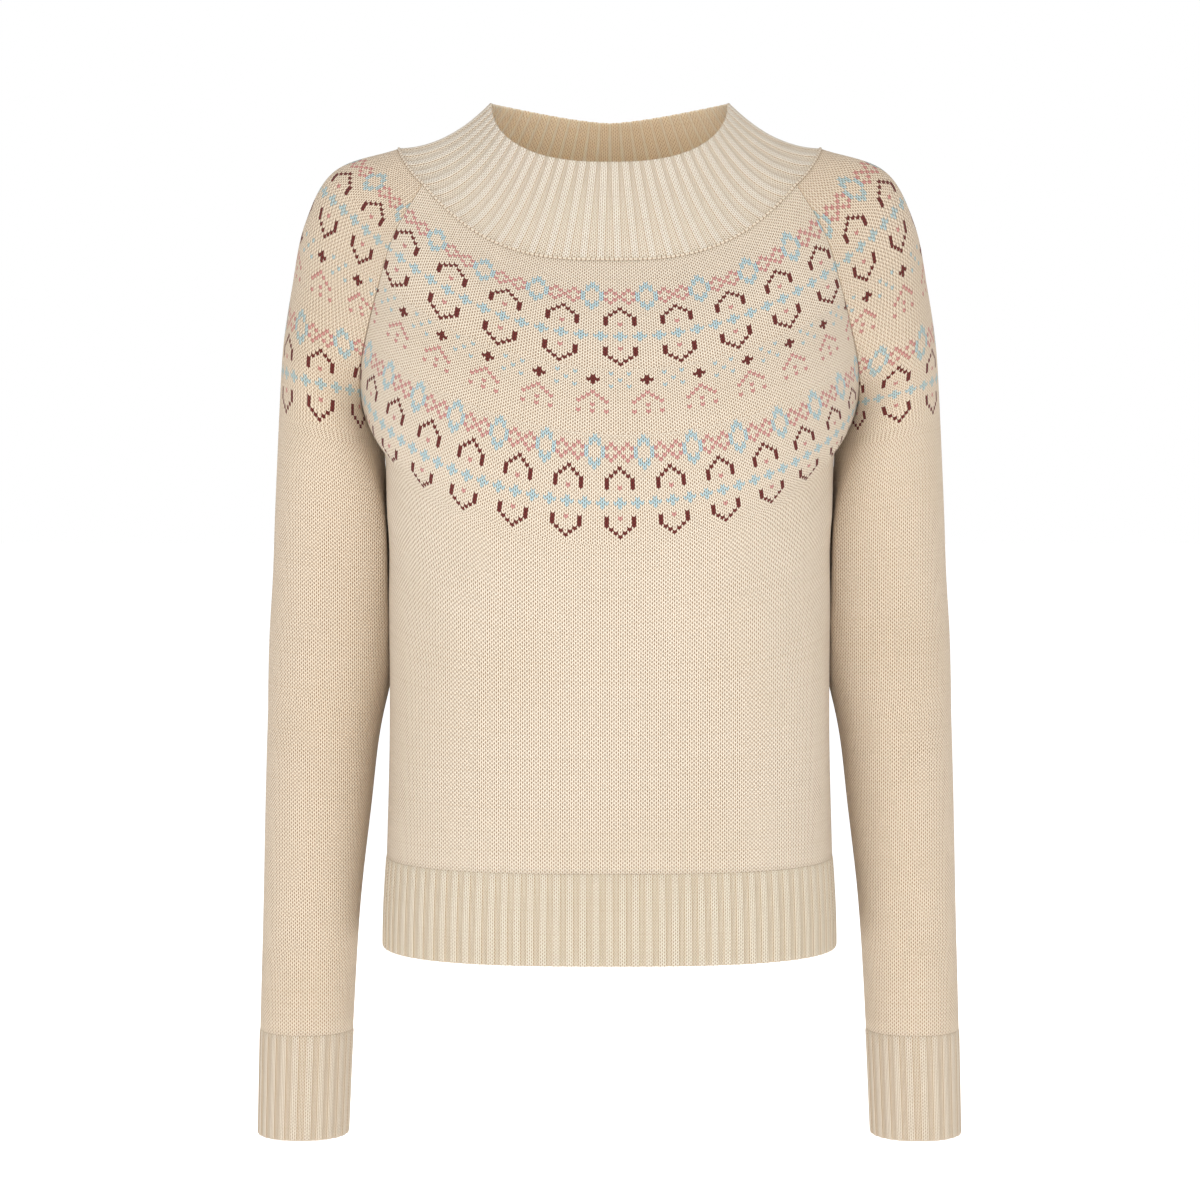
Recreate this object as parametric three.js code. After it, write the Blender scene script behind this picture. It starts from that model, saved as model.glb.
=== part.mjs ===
// A hollow yoked jumper, filled out as if worn: millimetres, +Z up, front towards -Y.
// The origin is at the base of the neck, between the shoulders.
import * as THREE from 'three';

// Driving sizes
const hemLevel = -562;
const hemRibTop = -497;
const cuffLevel = -700;
const cuffRibTop = -624;
const underarmLevel = -205;
const wallThickness = 1.8;
const seamGap = 0.4;
const neckGap = 0.7;
const underarmClearance = 2.4;

// Ribbing: raised height over the wall, and the share of one rib taken by its flat top
const ribHeight = 1.3;
const ribTopShare = 0.56;
const ribSideShare = 0.2;
const collarRibs = 66;
const hemRibs = 98;
const cuffRibs = 24;

// Mesh fineness: spaces between points around and along each piece
const bodyColumns = 22;
const yokeRows = 12;
const bodyRows = 8;
const sleeveColumns = 20;
const sleeveRows = 11;
const collarRows = 4;
const ribRows = 1;
const curveSamples = 96;

// The neck rim, a ring that is highest over the shoulders
const neckRim = {
  halfWidth: 84, frontY: -50, backY: 62, middleY: 5, roundness: 2.5, sideZ: 39.6, frontZ: -3, backZ: 26.6,
};

// Rings of the yoke from the neck seam (down 0) to the underarm (down 1). Each is a rounded oval of
// halfWidth, frontY and backY that stops at the armhole seams, where seamX lies, and the heights are at
// the centre front, the front seam, the centre back and the back seam. bow is how late a ring rises
// towards the seam.
const yokeRings = [
  { down: 0.00, halfWidth: 150, frontY: -66, backY: 88, middleY: 9, roundness: 2.4, seamX: 131,
    frontZ: -70.8, frontSeamZ: -18, backZ: -38, backSeamZ: -10, bow: 3.0, rise: 0.00 },
  { down: 0.20, halfWidth: 168, frontY: -88, backY: 98, middleY: 7, roundness: 2.4, seamX: 150.5,
    frontZ: -109.8, frontSeamZ: -52, backZ: -80, backSeamZ: -40, bow: 2.2, rise: 0.00 },
  { down: 0.40, halfWidth: 176, frontY: -102, backY: 105, middleY: 5, roundness: 2.4, seamX: 161.5,
    frontZ: -145, frontSeamZ: -87, backZ: -123, backSeamZ: -74, bow: 2.1, rise: 0.05 },
  { down: 0.60, halfWidth: 181, frontY: -110, backY: 110, middleY: 4, roundness: 2.5, seamX: 170,
    frontZ: -184, frontSeamZ: -121, backZ: -166, backSeamZ: -109, bow: 2.0, rise: 0.12 },
  { down: 0.76, halfWidth: 181, frontY: -113, backY: 112, middleY: 4, roundness: 2.6, seamX: 175.5,
    frontZ: -222, frontSeamZ: -151, backZ: -204, backSeamZ: -141, bow: 2.0, rise: 0.20 },
  { down: 0.90, halfWidth: 175, frontY: -113, backY: 112, middleY: 4, roundness: 2.6, seamX: 174,
    frontZ: -252, frontSeamZ: -181, backZ: -235, backSeamZ: -176, bow: 2.0, rise: 0.25 },
  { down: 1.00, halfWidth: 161, frontY: -112.5, backY: 111, middleY: 4, roundness: 2.7, seamX: 161,
    frontZ: -272, frontSeamZ: -205, backZ: -257, backSeamZ: -205, bow: 2.0, rise: 0.25 },
];

// The sleeve's share of each yoke ring: the point over the shoulder, and how a ring leaves the armhole
// seam, as a turn from straight outwards (towards the back is plus) and a reach in millimetres.
const shoulderRings = [
  { down: 0.00, shoulderX: 150, shoulderY: 8, shoulderZ: 7,
    frontTurn: 45, backTurn: 46, reach: 16, wrap: 16 },
  { down: 0.20, shoulderX: 196, shoulderY: 8, shoulderZ: -9,
    frontTurn: 44, backTurn: 44, reach: 24, wrap: 22 },
  { down: 0.40, shoulderX: 217.5, shoulderY: 9, shoulderZ: -47,
    frontTurn: 28, backTurn: 32, reach: 34, wrap: 34 },
  { down: 0.60, shoulderX: 227, shoulderY: 11, shoulderZ: -93,
    frontTurn: 4, backTurn: 14, reach: 38, wrap: 42 },
  { down: 0.76, shoulderX: 233.3, shoulderY: 12, shoulderZ: -133,
    frontTurn: -28, backTurn: -14, reach: 44, wrap: 52 },
  { down: 0.90, shoulderX: 236.2, shoulderY: 14, shoulderZ: -166,
    frontTurn: -65, backTurn: -55, reach: 56, wrap: 62 },
  { down: 1.00, shoulderX: 237.3, shoulderY: 16, shoulderZ: -190,
    frontTurn: -90, backTurn: -90, reach: 74, wrap: 76 },
];

// The body below the underarm, by level at the centre front
const bodyLevels = [
  { down: 0.0, halfWidth: 161, frontY: -112.5, backY: 111, middleY: 4, roundness: 2.7 },
  { down: 0.2, halfWidth: 158.5, frontY: -111, backY: 109, middleY: 3, roundness: 2.7 },
  { down: 0.6, halfWidth: 157.5, frontY: -108, backY: 106, middleY: 1, roundness: 2.7 },
  { down: 1.0, halfWidth: 160, frontY: -108, backY: 108, middleY: 0, roundness: 2.7 },
];
const hemHalfWidth = 163;
const hemDepth = 109;

// Sleeve sections by their fall below the underarm: outer and inner edge seen from the front, and depth
const sleeveSections = [
  { fall: 0, outerX: 237.3, innerX: 161, middleY: 16, halfDepth: 57 },
  { fall: 40, outerX: 240.4, innerX: 155, middleY: 22, halfDepth: 56 },
  { fall: 95, outerX: 242.6, innerX: 155, middleY: 22, halfDepth: 54 },
  { fall: 141, outerX: 245.3, innerX: 158, middleY: 18, halfDepth: 51 },
  { fall: 202, outerX: 246.6, innerX: 165.2, middleY: 12, halfDepth: 47 },
  { fall: 256, outerX: 248, innerX: 171.6, middleY: 7, halfDepth: 43.5 },
  { fall: 328, outerX: 249.5, innerX: 179.6, middleY: 1, halfDepth: 40 },
  { fall: 419, outerX: 252, innerX: 185.2, middleY: -5, halfDepth: 36.5 },
  { fall: 495, outerX: 253.8, innerX: 188.8, middleY: -8, halfDepth: 34.5 },
];
const sleeveRoundness = 2.2;

// Soft troughs pressed into the cloth, each from one point to another on the front view
const frontFolds = [
  { fromX: 152, fromZ: -205, toX: 96, toZ: -300, width: 18, depth: 2.4 },
  { fromX: 154, fromZ: -262, toX: 122, toZ: -352, width: 13, depth: 2.4 },
  { fromX: 44, fromZ: -300, toX: 36, toZ: -452, width: 17, depth: 2.2 },
];
const backFolds = [
  { fromX: 150, fromZ: -204, toX: 84, toZ: -318, width: 20, depth: 2.2 },
  { fromX: 40, fromZ: -292, toX: 52, toZ: -440, width: 18, depth: 2.4 },
];
const sleeveFolds = [
  { fromX: 176, fromZ: -222, toX: 214, toZ: -276, width: 16, depth: 1.8 },
  { fromX: 172, fromZ: -268, toX: 222, toZ: -342, width: 16, depth: 2.0 },
  { fromX: 236, fromZ: -386, toX: 196, toZ: -436, width: 12, depth: 2.0 },
  { fromX: 200, fromZ: -520, toX: 238, toZ: -566, width: 11, depth: 1.6 },
];

const oatmealWool = { color: 0xe4d3ba, roughness: 0.92, metalness: 0 };
const ribWool = { color: 0xe2cfb6, roughness: 0.92, metalness: 0 };

const signedPower = (value, power) => Math.sign(value) * Math.abs(value) ** power;

// Reads every column of a table at a place along it, with smooth slopes from row to row.
function readTable(rows, key, place) {
  const last = rows.length - 1;
  let row = 0;
  while (row < last - 1 && place > rows[row + 1][key]) {
    row += 1;
  }
  const start = rows[row];
  const end = rows[row + 1];
  const before = rows[Math.max(row - 1, 0)];
  const after = rows[Math.min(row + 2, last)];
  const span = end[key] - start[key];
  const part = THREE.MathUtils.clamp((place - start[key]) / span, 0, 1);
  const result = {};
  for (const name of Object.keys(start)) {
    const startSlope = ((end[name] - before[name]) / (end[key] - before[key])) * span;
    const endSlope = ((after[name] - start[name]) / (after[key] - start[key])) * span;
    const rise = part * part * (3 - 2 * part);
    const ease = part * (1 - part);
    result[name] = start[name] + (end[name] - start[name]) * rise
      + ease * ((1 - part) * startSlope - part * endSlope);
  }
  return result;
}

// A point on a rounded oval, at an angle from the centre front (0) through the side (a quarter turn)
// to the centre back (half a turn).
function ovalPoint(section, angle) {
  const across = signedPower(Math.sin(angle), 2 / section.roundness);
  const along = signedPower(Math.cos(angle), 2 / section.roundness);
  const depth = along > 0 ? section.frontY - section.middleY : section.middleY - section.backY;
  return new THREE.Vector3(section.halfWidth * across, section.middleY + depth * along, 0);
}

// The angle at which an oval reaches a distance from the centre, on its front half
function angleAt(section, distance) {
  const share = Math.min(distance / section.halfWidth, 1);
  return Math.asin(share ** (section.roundness / 2));
}

// Points at even spacing along a curve that is given as a function from 0 to 1
function evenPoints(curve, count) {
  const dense = [];
  const lengths = [0];
  for (let i = 0; i <= curveSamples; i += 1) {
    dense.push(curve(i / curveSamples));
    if (i > 0) {
      lengths.push(lengths[i - 1] + dense[i].distanceTo(dense[i - 1]));
    }
  }
  const points = [];
  let piece = 1;
  for (let i = 0; i <= count; i += 1) {
    const wanted = (lengths[curveSamples] * i) / count;
    while (piece < curveSamples && lengths[piece] < wanted) {
      piece += 1;
    }
    const step = lengths[piece] - lengths[piece - 1];
    points.push(dense[piece - 1].clone().lerp(dense[piece], (wanted - lengths[piece - 1]) / step));
  }
  return points;
}

// Half of the front or back of a yoke ring, from the centre (0) to the armhole seam (1)
function yokeHalf(down, isBack) {
  const ring = readTable(yokeRings, 'down', down);
  const seamAngle = angleAt(ring, ring.seamX);
  const centreZ = isBack ? ring.backZ : ring.frontZ;
  const seamZ = isBack ? ring.backSeamZ : ring.frontSeamZ;
  return (share) => {
    const angle = seamAngle * share;
    const point = ovalPoint(ring, isBack ? Math.PI - angle : angle);
    const out = point.x / ring.seamX;
    const height = (1 - ring.rise) * out ** ring.bow + ring.rise * out ** 10;
    point.z = centreZ + (seamZ - centreZ) * height;
    return point;
  };
}

// Half of a sleeve's share of a yoke ring, from the armhole seam (0) to the shoulder point (1)
function shoulderHalf(down, isBack) {
  const ring = readTable(shoulderRings, 'down', down);
  const start = yokeHalf(down, isBack)(1);
  const end = new THREE.Vector3(ring.shoulderX, ring.shoulderY, ring.shoulderZ);
  const turn = THREE.MathUtils.degToRad(isBack ? ring.backTurn : ring.frontTurn);
  const side = isBack ? -1 : 1;
  const leave = new THREE.Vector3(Math.cos(turn), side * Math.sin(turn), 0);
  const first = start.clone().addScaledVector(leave, ring.reach);
  first.z += (end.z - start.z) * 0.35;
  const second = end.clone().add(new THREE.Vector3(0, -side * ring.wrap, 0));
  const arc = new THREE.CubicBezierCurve3(start, first, second, end);
  return (share) => arc.getPoint(share);
}

// A ring of the body below the underarm: 0 at the underarm, 1 at the top of the hem ribbing
function bodyHalf(down, isBack) {
  const section = readTable(bodyLevels, 'down', down);
  const top = readTable(yokeRings, 'down', 1);
  const topCentre = isBack ? top.backZ : top.frontZ;
  const centreZ = THREE.MathUtils.lerp(topCentre, hemRibTop, down);
  const lift = (underarmLevel - topCentre) * (1 - down) ** 2.2;
  const rise = top.rise;
  return (share) => {
    const angle = (Math.PI / 2) * share;
    const point = ovalPoint(section, isBack ? Math.PI - angle : angle);
    const out = point.x / section.halfWidth;
    point.z = centreZ + lift * ((1 - rise) * out ** top.bow + rise * out ** 10);
    return point;
  };
}

// How far the body reaches sideways at a level and a depth, for the sleeves to stay clear of it
function bodyReach(level, depth) {
  const down = THREE.MathUtils.clamp((underarmLevel - level) / (underarmLevel - hemRibTop), 0, 1);
  const section = readTable(bodyLevels, 'down', down);
  const half = depth < section.middleY ? section.middleY - section.frontY : section.backY - section.middleY;
  const share = Math.min(Math.abs(depth - section.middleY) / half, 1);
  return section.halfWidth * (1 - share ** section.roundness) ** (1 / section.roundness);
}

// A ring of a sleeve below the underarm, round from the inside (0) by the front to the inside (1)
function sleeveRing(level, tilt) {
  const section = readTable(sleeveSections, 'fall', underarmLevel - level);
  const halfWidth = (section.outerX - section.innerX) / 2;
  const middleX = (section.outerX + section.innerX) / 2;
  const opened = THREE.MathUtils.smoothstep(underarmLevel - level, 0, 26);
  const clearance = seamGap + (underarmClearance - seamGap) * opened;
  return (share) => {
    const angle = 2 * Math.PI * share;
    const across = signedPower(Math.cos(angle), 2 / sleeveRoundness);
    const along = signedPower(Math.sin(angle), 2 / sleeveRoundness);
    const y = section.middleY - section.halfDepth * along;
    const x = Math.max(middleX - halfWidth * across, bodyReach(level, y) + clearance);
    return new THREE.Vector3(x, y, level - tilt * across);
  };
}

// Presses the soft troughs into a point that faces outwards along a direction
function pressFolds(point, outward, folds, side) {
  let press = 0;
  for (const fold of folds) {
    const alongX = fold.toX - fold.fromX;
    const alongZ = fold.toZ - fold.fromZ;
    const length = Math.hypot(alongX, alongZ);
    const offX = side * point.x - fold.fromX;
    const offZ = point.z - fold.fromZ;
    const along = (offX * alongX + offZ * alongZ) / length;
    const aside = (offX * alongZ - offZ * alongX) / length;
    const ends = THREE.MathUtils.smoothstep(along, -0.15 * length, 0.25 * length)
      * (1 - THREE.MathUtils.smoothstep(along, 0.6 * length, 1.15 * length));
    press += fold.depth * ends * Math.exp(-((aside / fold.width) ** 2));
  }
  return point.clone().addScaledVector(outward, -press);
}

// Unit directions that face out of a grid of points, row by row
function gridNormals(rows, closed) {
  const columns = rows[0].length;
  return rows.map((row, r) => row.map((point, c) => {
    const up = rows[Math.max(r - 1, 0)][c];
    const low = rows[Math.min(r + 1, rows.length - 1)][c];
    const back = closed ? row[(c + columns - 1) % columns] : row[Math.max(c - 1, 0)];
    const ahead = closed ? row[(c + 1) % columns] : row[Math.min(c + 1, columns - 1)];
    const across = ahead.clone().sub(back);
    const down = low.clone().sub(up);
    return down.cross(across).normalize();
  }));
}

// Moves a panel's two side edges in by half the seam gap
function trimEdges(row) {
  const last = row.length - 1;
  const first = row[0].clone().sub(row[1]).setLength(-seamGap / 2);
  const second = row[last].clone().sub(row[last - 1]).setLength(-seamGap / 2);
  row[0].add(first);
  row[last].add(second);
  return row;
}

// Moves the top or bottom row of a panel towards its neighbour row
function trimRow(row, neighbour, amount) {
  return row.map((point, c) => point.clone().add(neighbour[c].clone().sub(point).setLength(amount)));
}

function meshFrom(name, positions, faces, finish) {
  const geometry = new THREE.BufferGeometry();
  const numbers = positions.flatMap((point) => point.toArray());
  geometry.setAttribute('position', new THREE.Float32BufferAttribute(numbers, 3));
  geometry.setIndex(faces.flat());
  geometry.computeVertexNormals();
  const mesh = new THREE.Mesh(geometry, new THREE.MeshStandardMaterial(finish));
  mesh.name = name;
  return mesh;
}

// A wall of even thickness behind a grid of points that face outwards. The two side edges are joined
// from row joinFrom down, and edged above it; a panel that is never joined has joinFrom past its rows.
function wallMesh(name, rows, normals, joinFrom, finish) {
  const columns = rows[0].length;
  const lastColumn = columns - 1;
  const lastRow = rows.length - 1;
  const outer = rows.flat();
  const facing = normals.flat();
  const inner = outer.map((point, i) => point.clone().addScaledVector(facing[i], -wallThickness));
  const place = (r, c) => r * columns + (c === lastColumn && r >= joinFrom ? 0 : c);
  const half = outer.length;
  const faces = [];
  const quad = (a, b, c, d) => faces.push([a, b, c], [a, c, d]);
  for (let r = 0; r < lastRow; r += 1) {
    for (let c = 0; c < lastColumn; c += 1) {
      const corners = [place(r, c), place(r + 1, c), place(r + 1, c + 1), place(r, c + 1)];
      quad(...corners);
      quad(...corners.map((corner) => corner + half).reverse());
    }
    if (r < joinFrom) {
      quad(place(r, 0), place(r, 0) + half, place(r + 1, 0) + half, place(r + 1, 0));
      const edge = [place(r, lastColumn), place(r + 1, lastColumn)];
      quad(edge[0], edge[1], edge[1] + half, edge[0] + half);
    }
  }
  for (let c = 0; c < lastColumn; c += 1) {
    quad(place(0, c), place(0, c + 1), place(0, c + 1) + half, place(0, c) + half);
    const low = [place(lastRow, c), place(lastRow, c + 1)];
    quad(low[0], low[0] + half, low[1] + half, low[1]);
  }
  return meshFrom(name, outer.concat(inner), faces, finish);
}

// A ribbed wall: each rib has a flat top and a groove on the outside, over a plain inside. ringAt gives
// the middle surface at a share of its height and a share of its round, and directionAt the way out.
function ribbedWall(name, ringAt, directionAt, rowCount, ribs, closed, finish) {
  const outer = [];
  const inner = [];
  const perRow = closed ? ribs : ribs + 1;
  const outerPerRow = closed ? ribs * 3 : ribs * 3 + 1;
  const cuts = [0, ribSideShare, ribSideShare + ribTopShare];
  for (let r = 0; r <= rowCount; r += 1) {
    const down = r / rowCount;
    for (let i = 0; i < perRow; i += 1) {
      const plain = ringAt(down, i / ribs);
      const facing = directionAt(down, i / ribs);
      inner.push(plain.clone().addScaledVector(facing, -wallThickness));
      const steps = i === ribs ? [0] : cuts;
      for (const cut of steps) {
        const place = (i + cut) / ribs;
        const lift = cut === 0 ? 0 : ribHeight;
        outer.push(ringAt(down, place).addScaledVector(directionAt(down, place), lift - ribHeight / 2));
      }
    }
  }
  const half = outer.length;
  const faces = [];
  const out = (r, k) => r * outerPerRow + (closed ? k % outerPerRow : k);
  const within = (r, i) => half + r * perRow + (closed ? i % perRow : i);
  const quad = (a, b, c, d) => faces.push([a, b, c], [a, c, d]);
  for (let r = 0; r < rowCount; r += 1) {
    for (let k = 0; k < ribs * 3; k += 1) {
      quad(out(r, k), out(r + 1, k), out(r + 1, k + 1), out(r, k + 1));
    }
    for (let i = 0; i < ribs; i += 1) {
      quad(within(r, i + 1), within(r + 1, i + 1), within(r + 1, i), within(r, i));
    }
    if (!closed) {
      quad(out(r, 0), within(r, 0), within(r + 1, 0), out(r + 1, 0));
      quad(out(r, ribs * 3), out(r + 1, ribs * 3), within(r + 1, ribs), within(r, ribs));
    }
  }
  for (let i = 0; i < ribs; i += 1) {
    const k = i * 3;
    const fan = (r) => [
      [out(r, k), out(r, k + 1), within(r, i)],
      [out(r, k + 1), out(r, k + 2), within(r, i)],
      [within(r, i), out(r, k + 2), within(r, i + 1)],
      [out(r, k + 2), out(r, k + 3), within(r, i + 1)],
    ];
    faces.push(...fan(0));
    faces.push(...fan(rowCount).map((face) => face.reverse()));
  }
  return meshFrom(name, outer.concat(inner), faces, finish);
}

// A curve through points at even shares of its length, as a function of the share
function throughPoints(points, closed) {
  const count = closed ? points.length : points.length - 1;
  return (share) => {
    const place = (closed ? ((share % 1) + 1) % 1 : THREE.MathUtils.clamp(share, 0, 1)) * count;
    const index = Math.min(Math.floor(place), count - 1);
    const next = closed ? (index + 1) % count : index + 1;
    return points[index].clone().lerp(points[next], place - index);
  };
}

// The outward direction of a closed or open ring family at a place on it
function directionOf(ringAt) {
  const step = 0.002;
  return (down, share) => {
    const across = ringAt(down, share + step).sub(ringAt(down, share - step));
    const low = ringAt(Math.min(down + 0.05, 1), share);
    const high = ringAt(Math.max(down - 0.05, 0), share);
    return low.sub(high).cross(across).normalize();
  };
}

// A yoke ring's panel corners as a closed loop, from the centre back by the wearer's right to the front
function ringCorners(down) {
  const side = (isBack) => {
    const panel = evenPoints(yokeHalf(down, isBack), bodyColumns / 2);
    return panel.concat(evenPoints(shoulderHalf(down, isBack), sleeveColumns / 2).slice(1));
  };
  const left = side(false).concat(side(true).reverse().slice(1));
  const right = left.map((p) => new THREE.Vector3(-p.x, p.y, p.z)).reverse();
  return right.concat(left.slice(1));
}

// The share of a loop's length at which each of its corners lies
function cornerShares(corners) {
  const lengths = [0];
  for (let i = 1; i < corners.length; i += 1) {
    lengths.push(lengths[i - 1] + corners[i].distanceTo(corners[i - 1]));
  }
  return lengths.map((length) => length / lengths[corners.length - 1]);
}

// Reads a list of vectors, one for each corner of a closed loop, at a share of the loop's length
function readLoop(vectors, shares, share) {
  const wanted = ((share % 1) + 1) % 1;
  const next = Math.max(shares.findIndex((place) => place >= wanted), 1);
  const part = (wanted - shares[next - 1]) / (shares[next] - shares[next - 1]);
  return vectors[next - 1].clone().lerp(vectors[next], part);
}

// The rim at the top of the collar: tilted to the front, with a shallower dip at the back
function neckRimRing() {
  const loop = (share) => {
    const angle = 2 * Math.PI * share - Math.PI;
    const point = ovalPoint(neckRim, Math.abs(angle));
    point.x *= Math.sign(angle);
    const isFront = point.y < neckRim.middleY;
    const out = Math.min(Math.abs(point.x) / neckRim.halfWidth, 1);
    const forward = (point.y - neckRim.middleY) / (neckRim.frontY - neckRim.middleY);
    const dip = isFront ? forward : (1 - out ** 1.5) ** 1.25;
    point.z = neckRim.sideZ + ((isFront ? neckRim.frontZ : neckRim.backZ) - neckRim.sideZ) * dip;
    return point;
  };
  const points = evenPoints(loop, collarRibs * 3);
  return throughPoints(points.slice(0, -1), true);
}

// The collar's middle surface, from the rim (down 0) to the neck seam (down 1). Over the shoulders it
// drops first and then spreads, and at the front and back it falls nearly straight.
const neckCorners = ringCorners(0);
const neckShares = cornerShares(neckCorners);
const neckRimAt = neckRimRing();
function collarPoint(down, share) {
  const top = neckRimAt(share);
  const low = readLoop(neckCorners, neckShares, share);
  const sideness = (top.x / neckRim.halfWidth) ** 2;
  const drop = down + down * (1 - down) * sideness;
  return new THREE.Vector3(
    THREE.MathUtils.lerp(top.x, low.x, down),
    THREE.MathUtils.lerp(top.y, low.y, down),
    THREE.MathUtils.lerp(top.z, low.z, drop),
  );
}

// The directions that the collar's and the panels' edges share along the neck seam
const cornersBelow = ringCorners(1 / yokeRows);
const neckFacings = neckCorners.map((corner, i) => {
  const last = neckCorners.length - 1;
  const across = neckCorners[i === last ? 1 : i + 1].clone().sub(neckCorners[i === 0 ? last - 1 : i - 1]);
  const above = collarPoint(1 - 1 / collarRows, neckShares[i]);
  return cornersBelow[i].clone().sub(above).cross(across).normalize();
});

function neckFacing(point) {
  let nearest = 0;
  neckCorners.forEach((corner, i) => {
    nearest = corner.distanceTo(point) < neckCorners[nearest].distanceTo(point) ? i : nearest;
  });
  return neckFacings[nearest];
}

// The front or back panel, from one side seam over the centre to the other. side is -1 at the wearer's
// right and 1 at the left.
function panelRow(half, side) {
  const outward = evenPoints(half, bodyColumns / 2);
  const mirrored = outward.slice(1).map((point) => new THREE.Vector3(-point.x, point.y, point.z)).reverse();
  const row = mirrored.concat(outward);
  return side > 0 ? row : row.reverse();
}

function makePanel(name, isBack) {
  const side = isBack ? -1 : 1;
  const folds = isBack ? backFolds : frontFolds;
  const rows = [];
  for (let r = 0; r <= yokeRows; r += 1) {
    rows.push(panelRow(yokeHalf(r / yokeRows, isBack), side));
  }
  for (let r = 1; r <= bodyRows; r += 1) {
    rows.push(panelRow(bodyHalf(r / bodyRows, isBack), side));
  }
  const directions = gridNormals(rows, false);
  const pressed = rows.map((row, r) => row.map(
    (point, c) => pressFolds(point, directions[r][c], folds, Math.sign(point.x) || 1),
  ));
  pressed.forEach(trimEdges);
  pressed[0] = trimRow(pressed[0], pressed[1], neckGap / 2);
  pressed[rows.length - 1] = trimRow(pressed[rows.length - 1], pressed[rows.length - 2], seamGap / 2);
  const normals = gridNormals(pressed, false);
  normals[0] = rows[0].map(neckFacing);
  return wallMesh(name, pressed, normals, rows.length, oatmealWool);
}

// A sleeve as a grid that starts at the front armhole seam, goes round by the outside and ends at the
// back armhole seam, and closes into a tube below the underarm.
function sleeveGrid(side) {
  const rows = [];
  const half = sleeveColumns / 2;
  for (let r = 0; r <= yokeRows; r += 1) {
    const front = evenPoints(shoulderHalf(r / yokeRows, false), half);
    const back = evenPoints(shoulderHalf(r / yokeRows, true), half).reverse();
    rows.push(front.concat(back.slice(1)));
  }
  const shoulderLevel = shoulderRings[shoulderRings.length - 1].shoulderZ;
  const topTilt = (shoulderLevel - underarmLevel) / 2;
  for (let r = 1; r <= sleeveRows; r += 1) {
    const down = r / sleeveRows;
    const tilt = topTilt * (1 - down) ** 2;
    const level = THREE.MathUtils.lerp(underarmLevel + topTilt, cuffRibTop, down);
    rows.push(evenPoints(sleeveRing(level, tilt), sleeveColumns));
  }
  return side > 0 ? rows : rows.map((row) => row.map((p) => new THREE.Vector3(-p.x, p.y, p.z)).reverse());
}

function makeSleeve(name, side) {
  const rows = sleeveGrid(side);
  const directions = gridNormals(rows, false);
  const pressed = rows.map((row, r) => row.map((point, c) => {
    const joined = r > yokeRows && (c === 0 || c === sleeveColumns);
    return joined ? point : pressFolds(point, directions[r][c], sleeveFolds, side);
  }));
  for (let r = 0; r <= yokeRows; r += 1) {
    trimEdges(pressed[r]);
  }
  pressed[0] = trimRow(pressed[0], pressed[1], neckGap / 2);
  pressed[rows.length - 1] = trimRow(pressed[rows.length - 1], pressed[rows.length - 2], seamGap / 2);
  const normals = gridNormals(pressed, false);
  normals[0] = rows[0].map(neckFacing);
  for (let r = yokeRows + 1; r < rows.length; r += 1) {
    const joined = normals[r][0].clone().add(normals[r][sleeveColumns]).normalize();
    normals[r][0] = joined;
    normals[r][sleeveColumns] = joined;
  }
  return wallMesh(name, pressed, normals, yokeRows + 1, oatmealWool);
}

function makeCollar() {
  const ringAt = (down, share) => {
    const whole = neckRimAt(share).distanceTo(readLoop(neckCorners, neckShares, share));
    return collarPoint(down * (1 - neckGap / 2 / whole), share);
  };
  const facing = directionOf(ringAt);
  const directionAt = (down, share) => (
    down < 1 ? facing(down, share) : readLoop(neckFacings, neckShares, share).normalize()
  );
  return ribbedWall('collar', ringAt, directionAt, collarRows, collarRibs, true, ribWool);
}

// Half of the hem ribbing, front or back, from side seam to side seam
function makeHem(name, isBack) {
  const top = readTable(bodyLevels, 'down', 1);
  const low = { ...top, halfWidth: hemHalfWidth, frontY: -hemDepth, backY: hemDepth };
  const start = isBack ? Math.PI / 2 : -Math.PI / 2;
  const rings = [top, low].map((section) => {
    const loop = (share) => {
      const angle = start + Math.PI * share;
      const point = ovalPoint(section, Math.abs(angle));
      point.x *= Math.sign(angle) || 1;
      point.x = angle > Math.PI ? -Math.abs(point.x) : point.x;
      return point;
    };
    const row = evenPoints(loop, hemRibs * 3);
    return throughPoints(trimEdges(row), false);
  });
  const ringAt = (down, share) => {
    const swell = Math.sin((Math.PI / 2) * down);
    const point = rings[0](share).lerp(rings[1](share), swell);
    point.z = THREE.MathUtils.lerp(hemRibTop - seamGap / 2, hemLevel, down);
    return point;
  };
  return ribbedWall(name, ringAt, directionOf(ringAt), ribRows, hemRibs / 2, false, ribWool);
}

function makeCuff(name, side) {
  const ringAt = (down, share) => {
    const level = THREE.MathUtils.lerp(cuffRibTop - seamGap / 2, cuffLevel, down);
    const point = sleeveRing(level, 0)(side > 0 ? share : 1 - share);
    point.x *= side;
    return point;
  };
  return ribbedWall(name, ringAt, directionOf(ringAt), ribRows, cuffRibs, true, ribWool);
}

const jumper = new THREE.Group();
jumper.add(makePanel('front', false));
jumper.add(makePanel('back', true));
jumper.add(makeSleeve('sleeve_left', 1));
jumper.add(makeSleeve('sleeve_right', -1));
jumper.add(makeCollar());
jumper.add(makeHem('hem_front', false));
jumper.add(makeHem('hem_back', true));
jumper.add(makeCuff('cuff_left', 1));
jumper.add(makeCuff('cuff_right', -1));

export default jumper;
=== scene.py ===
import math

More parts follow.
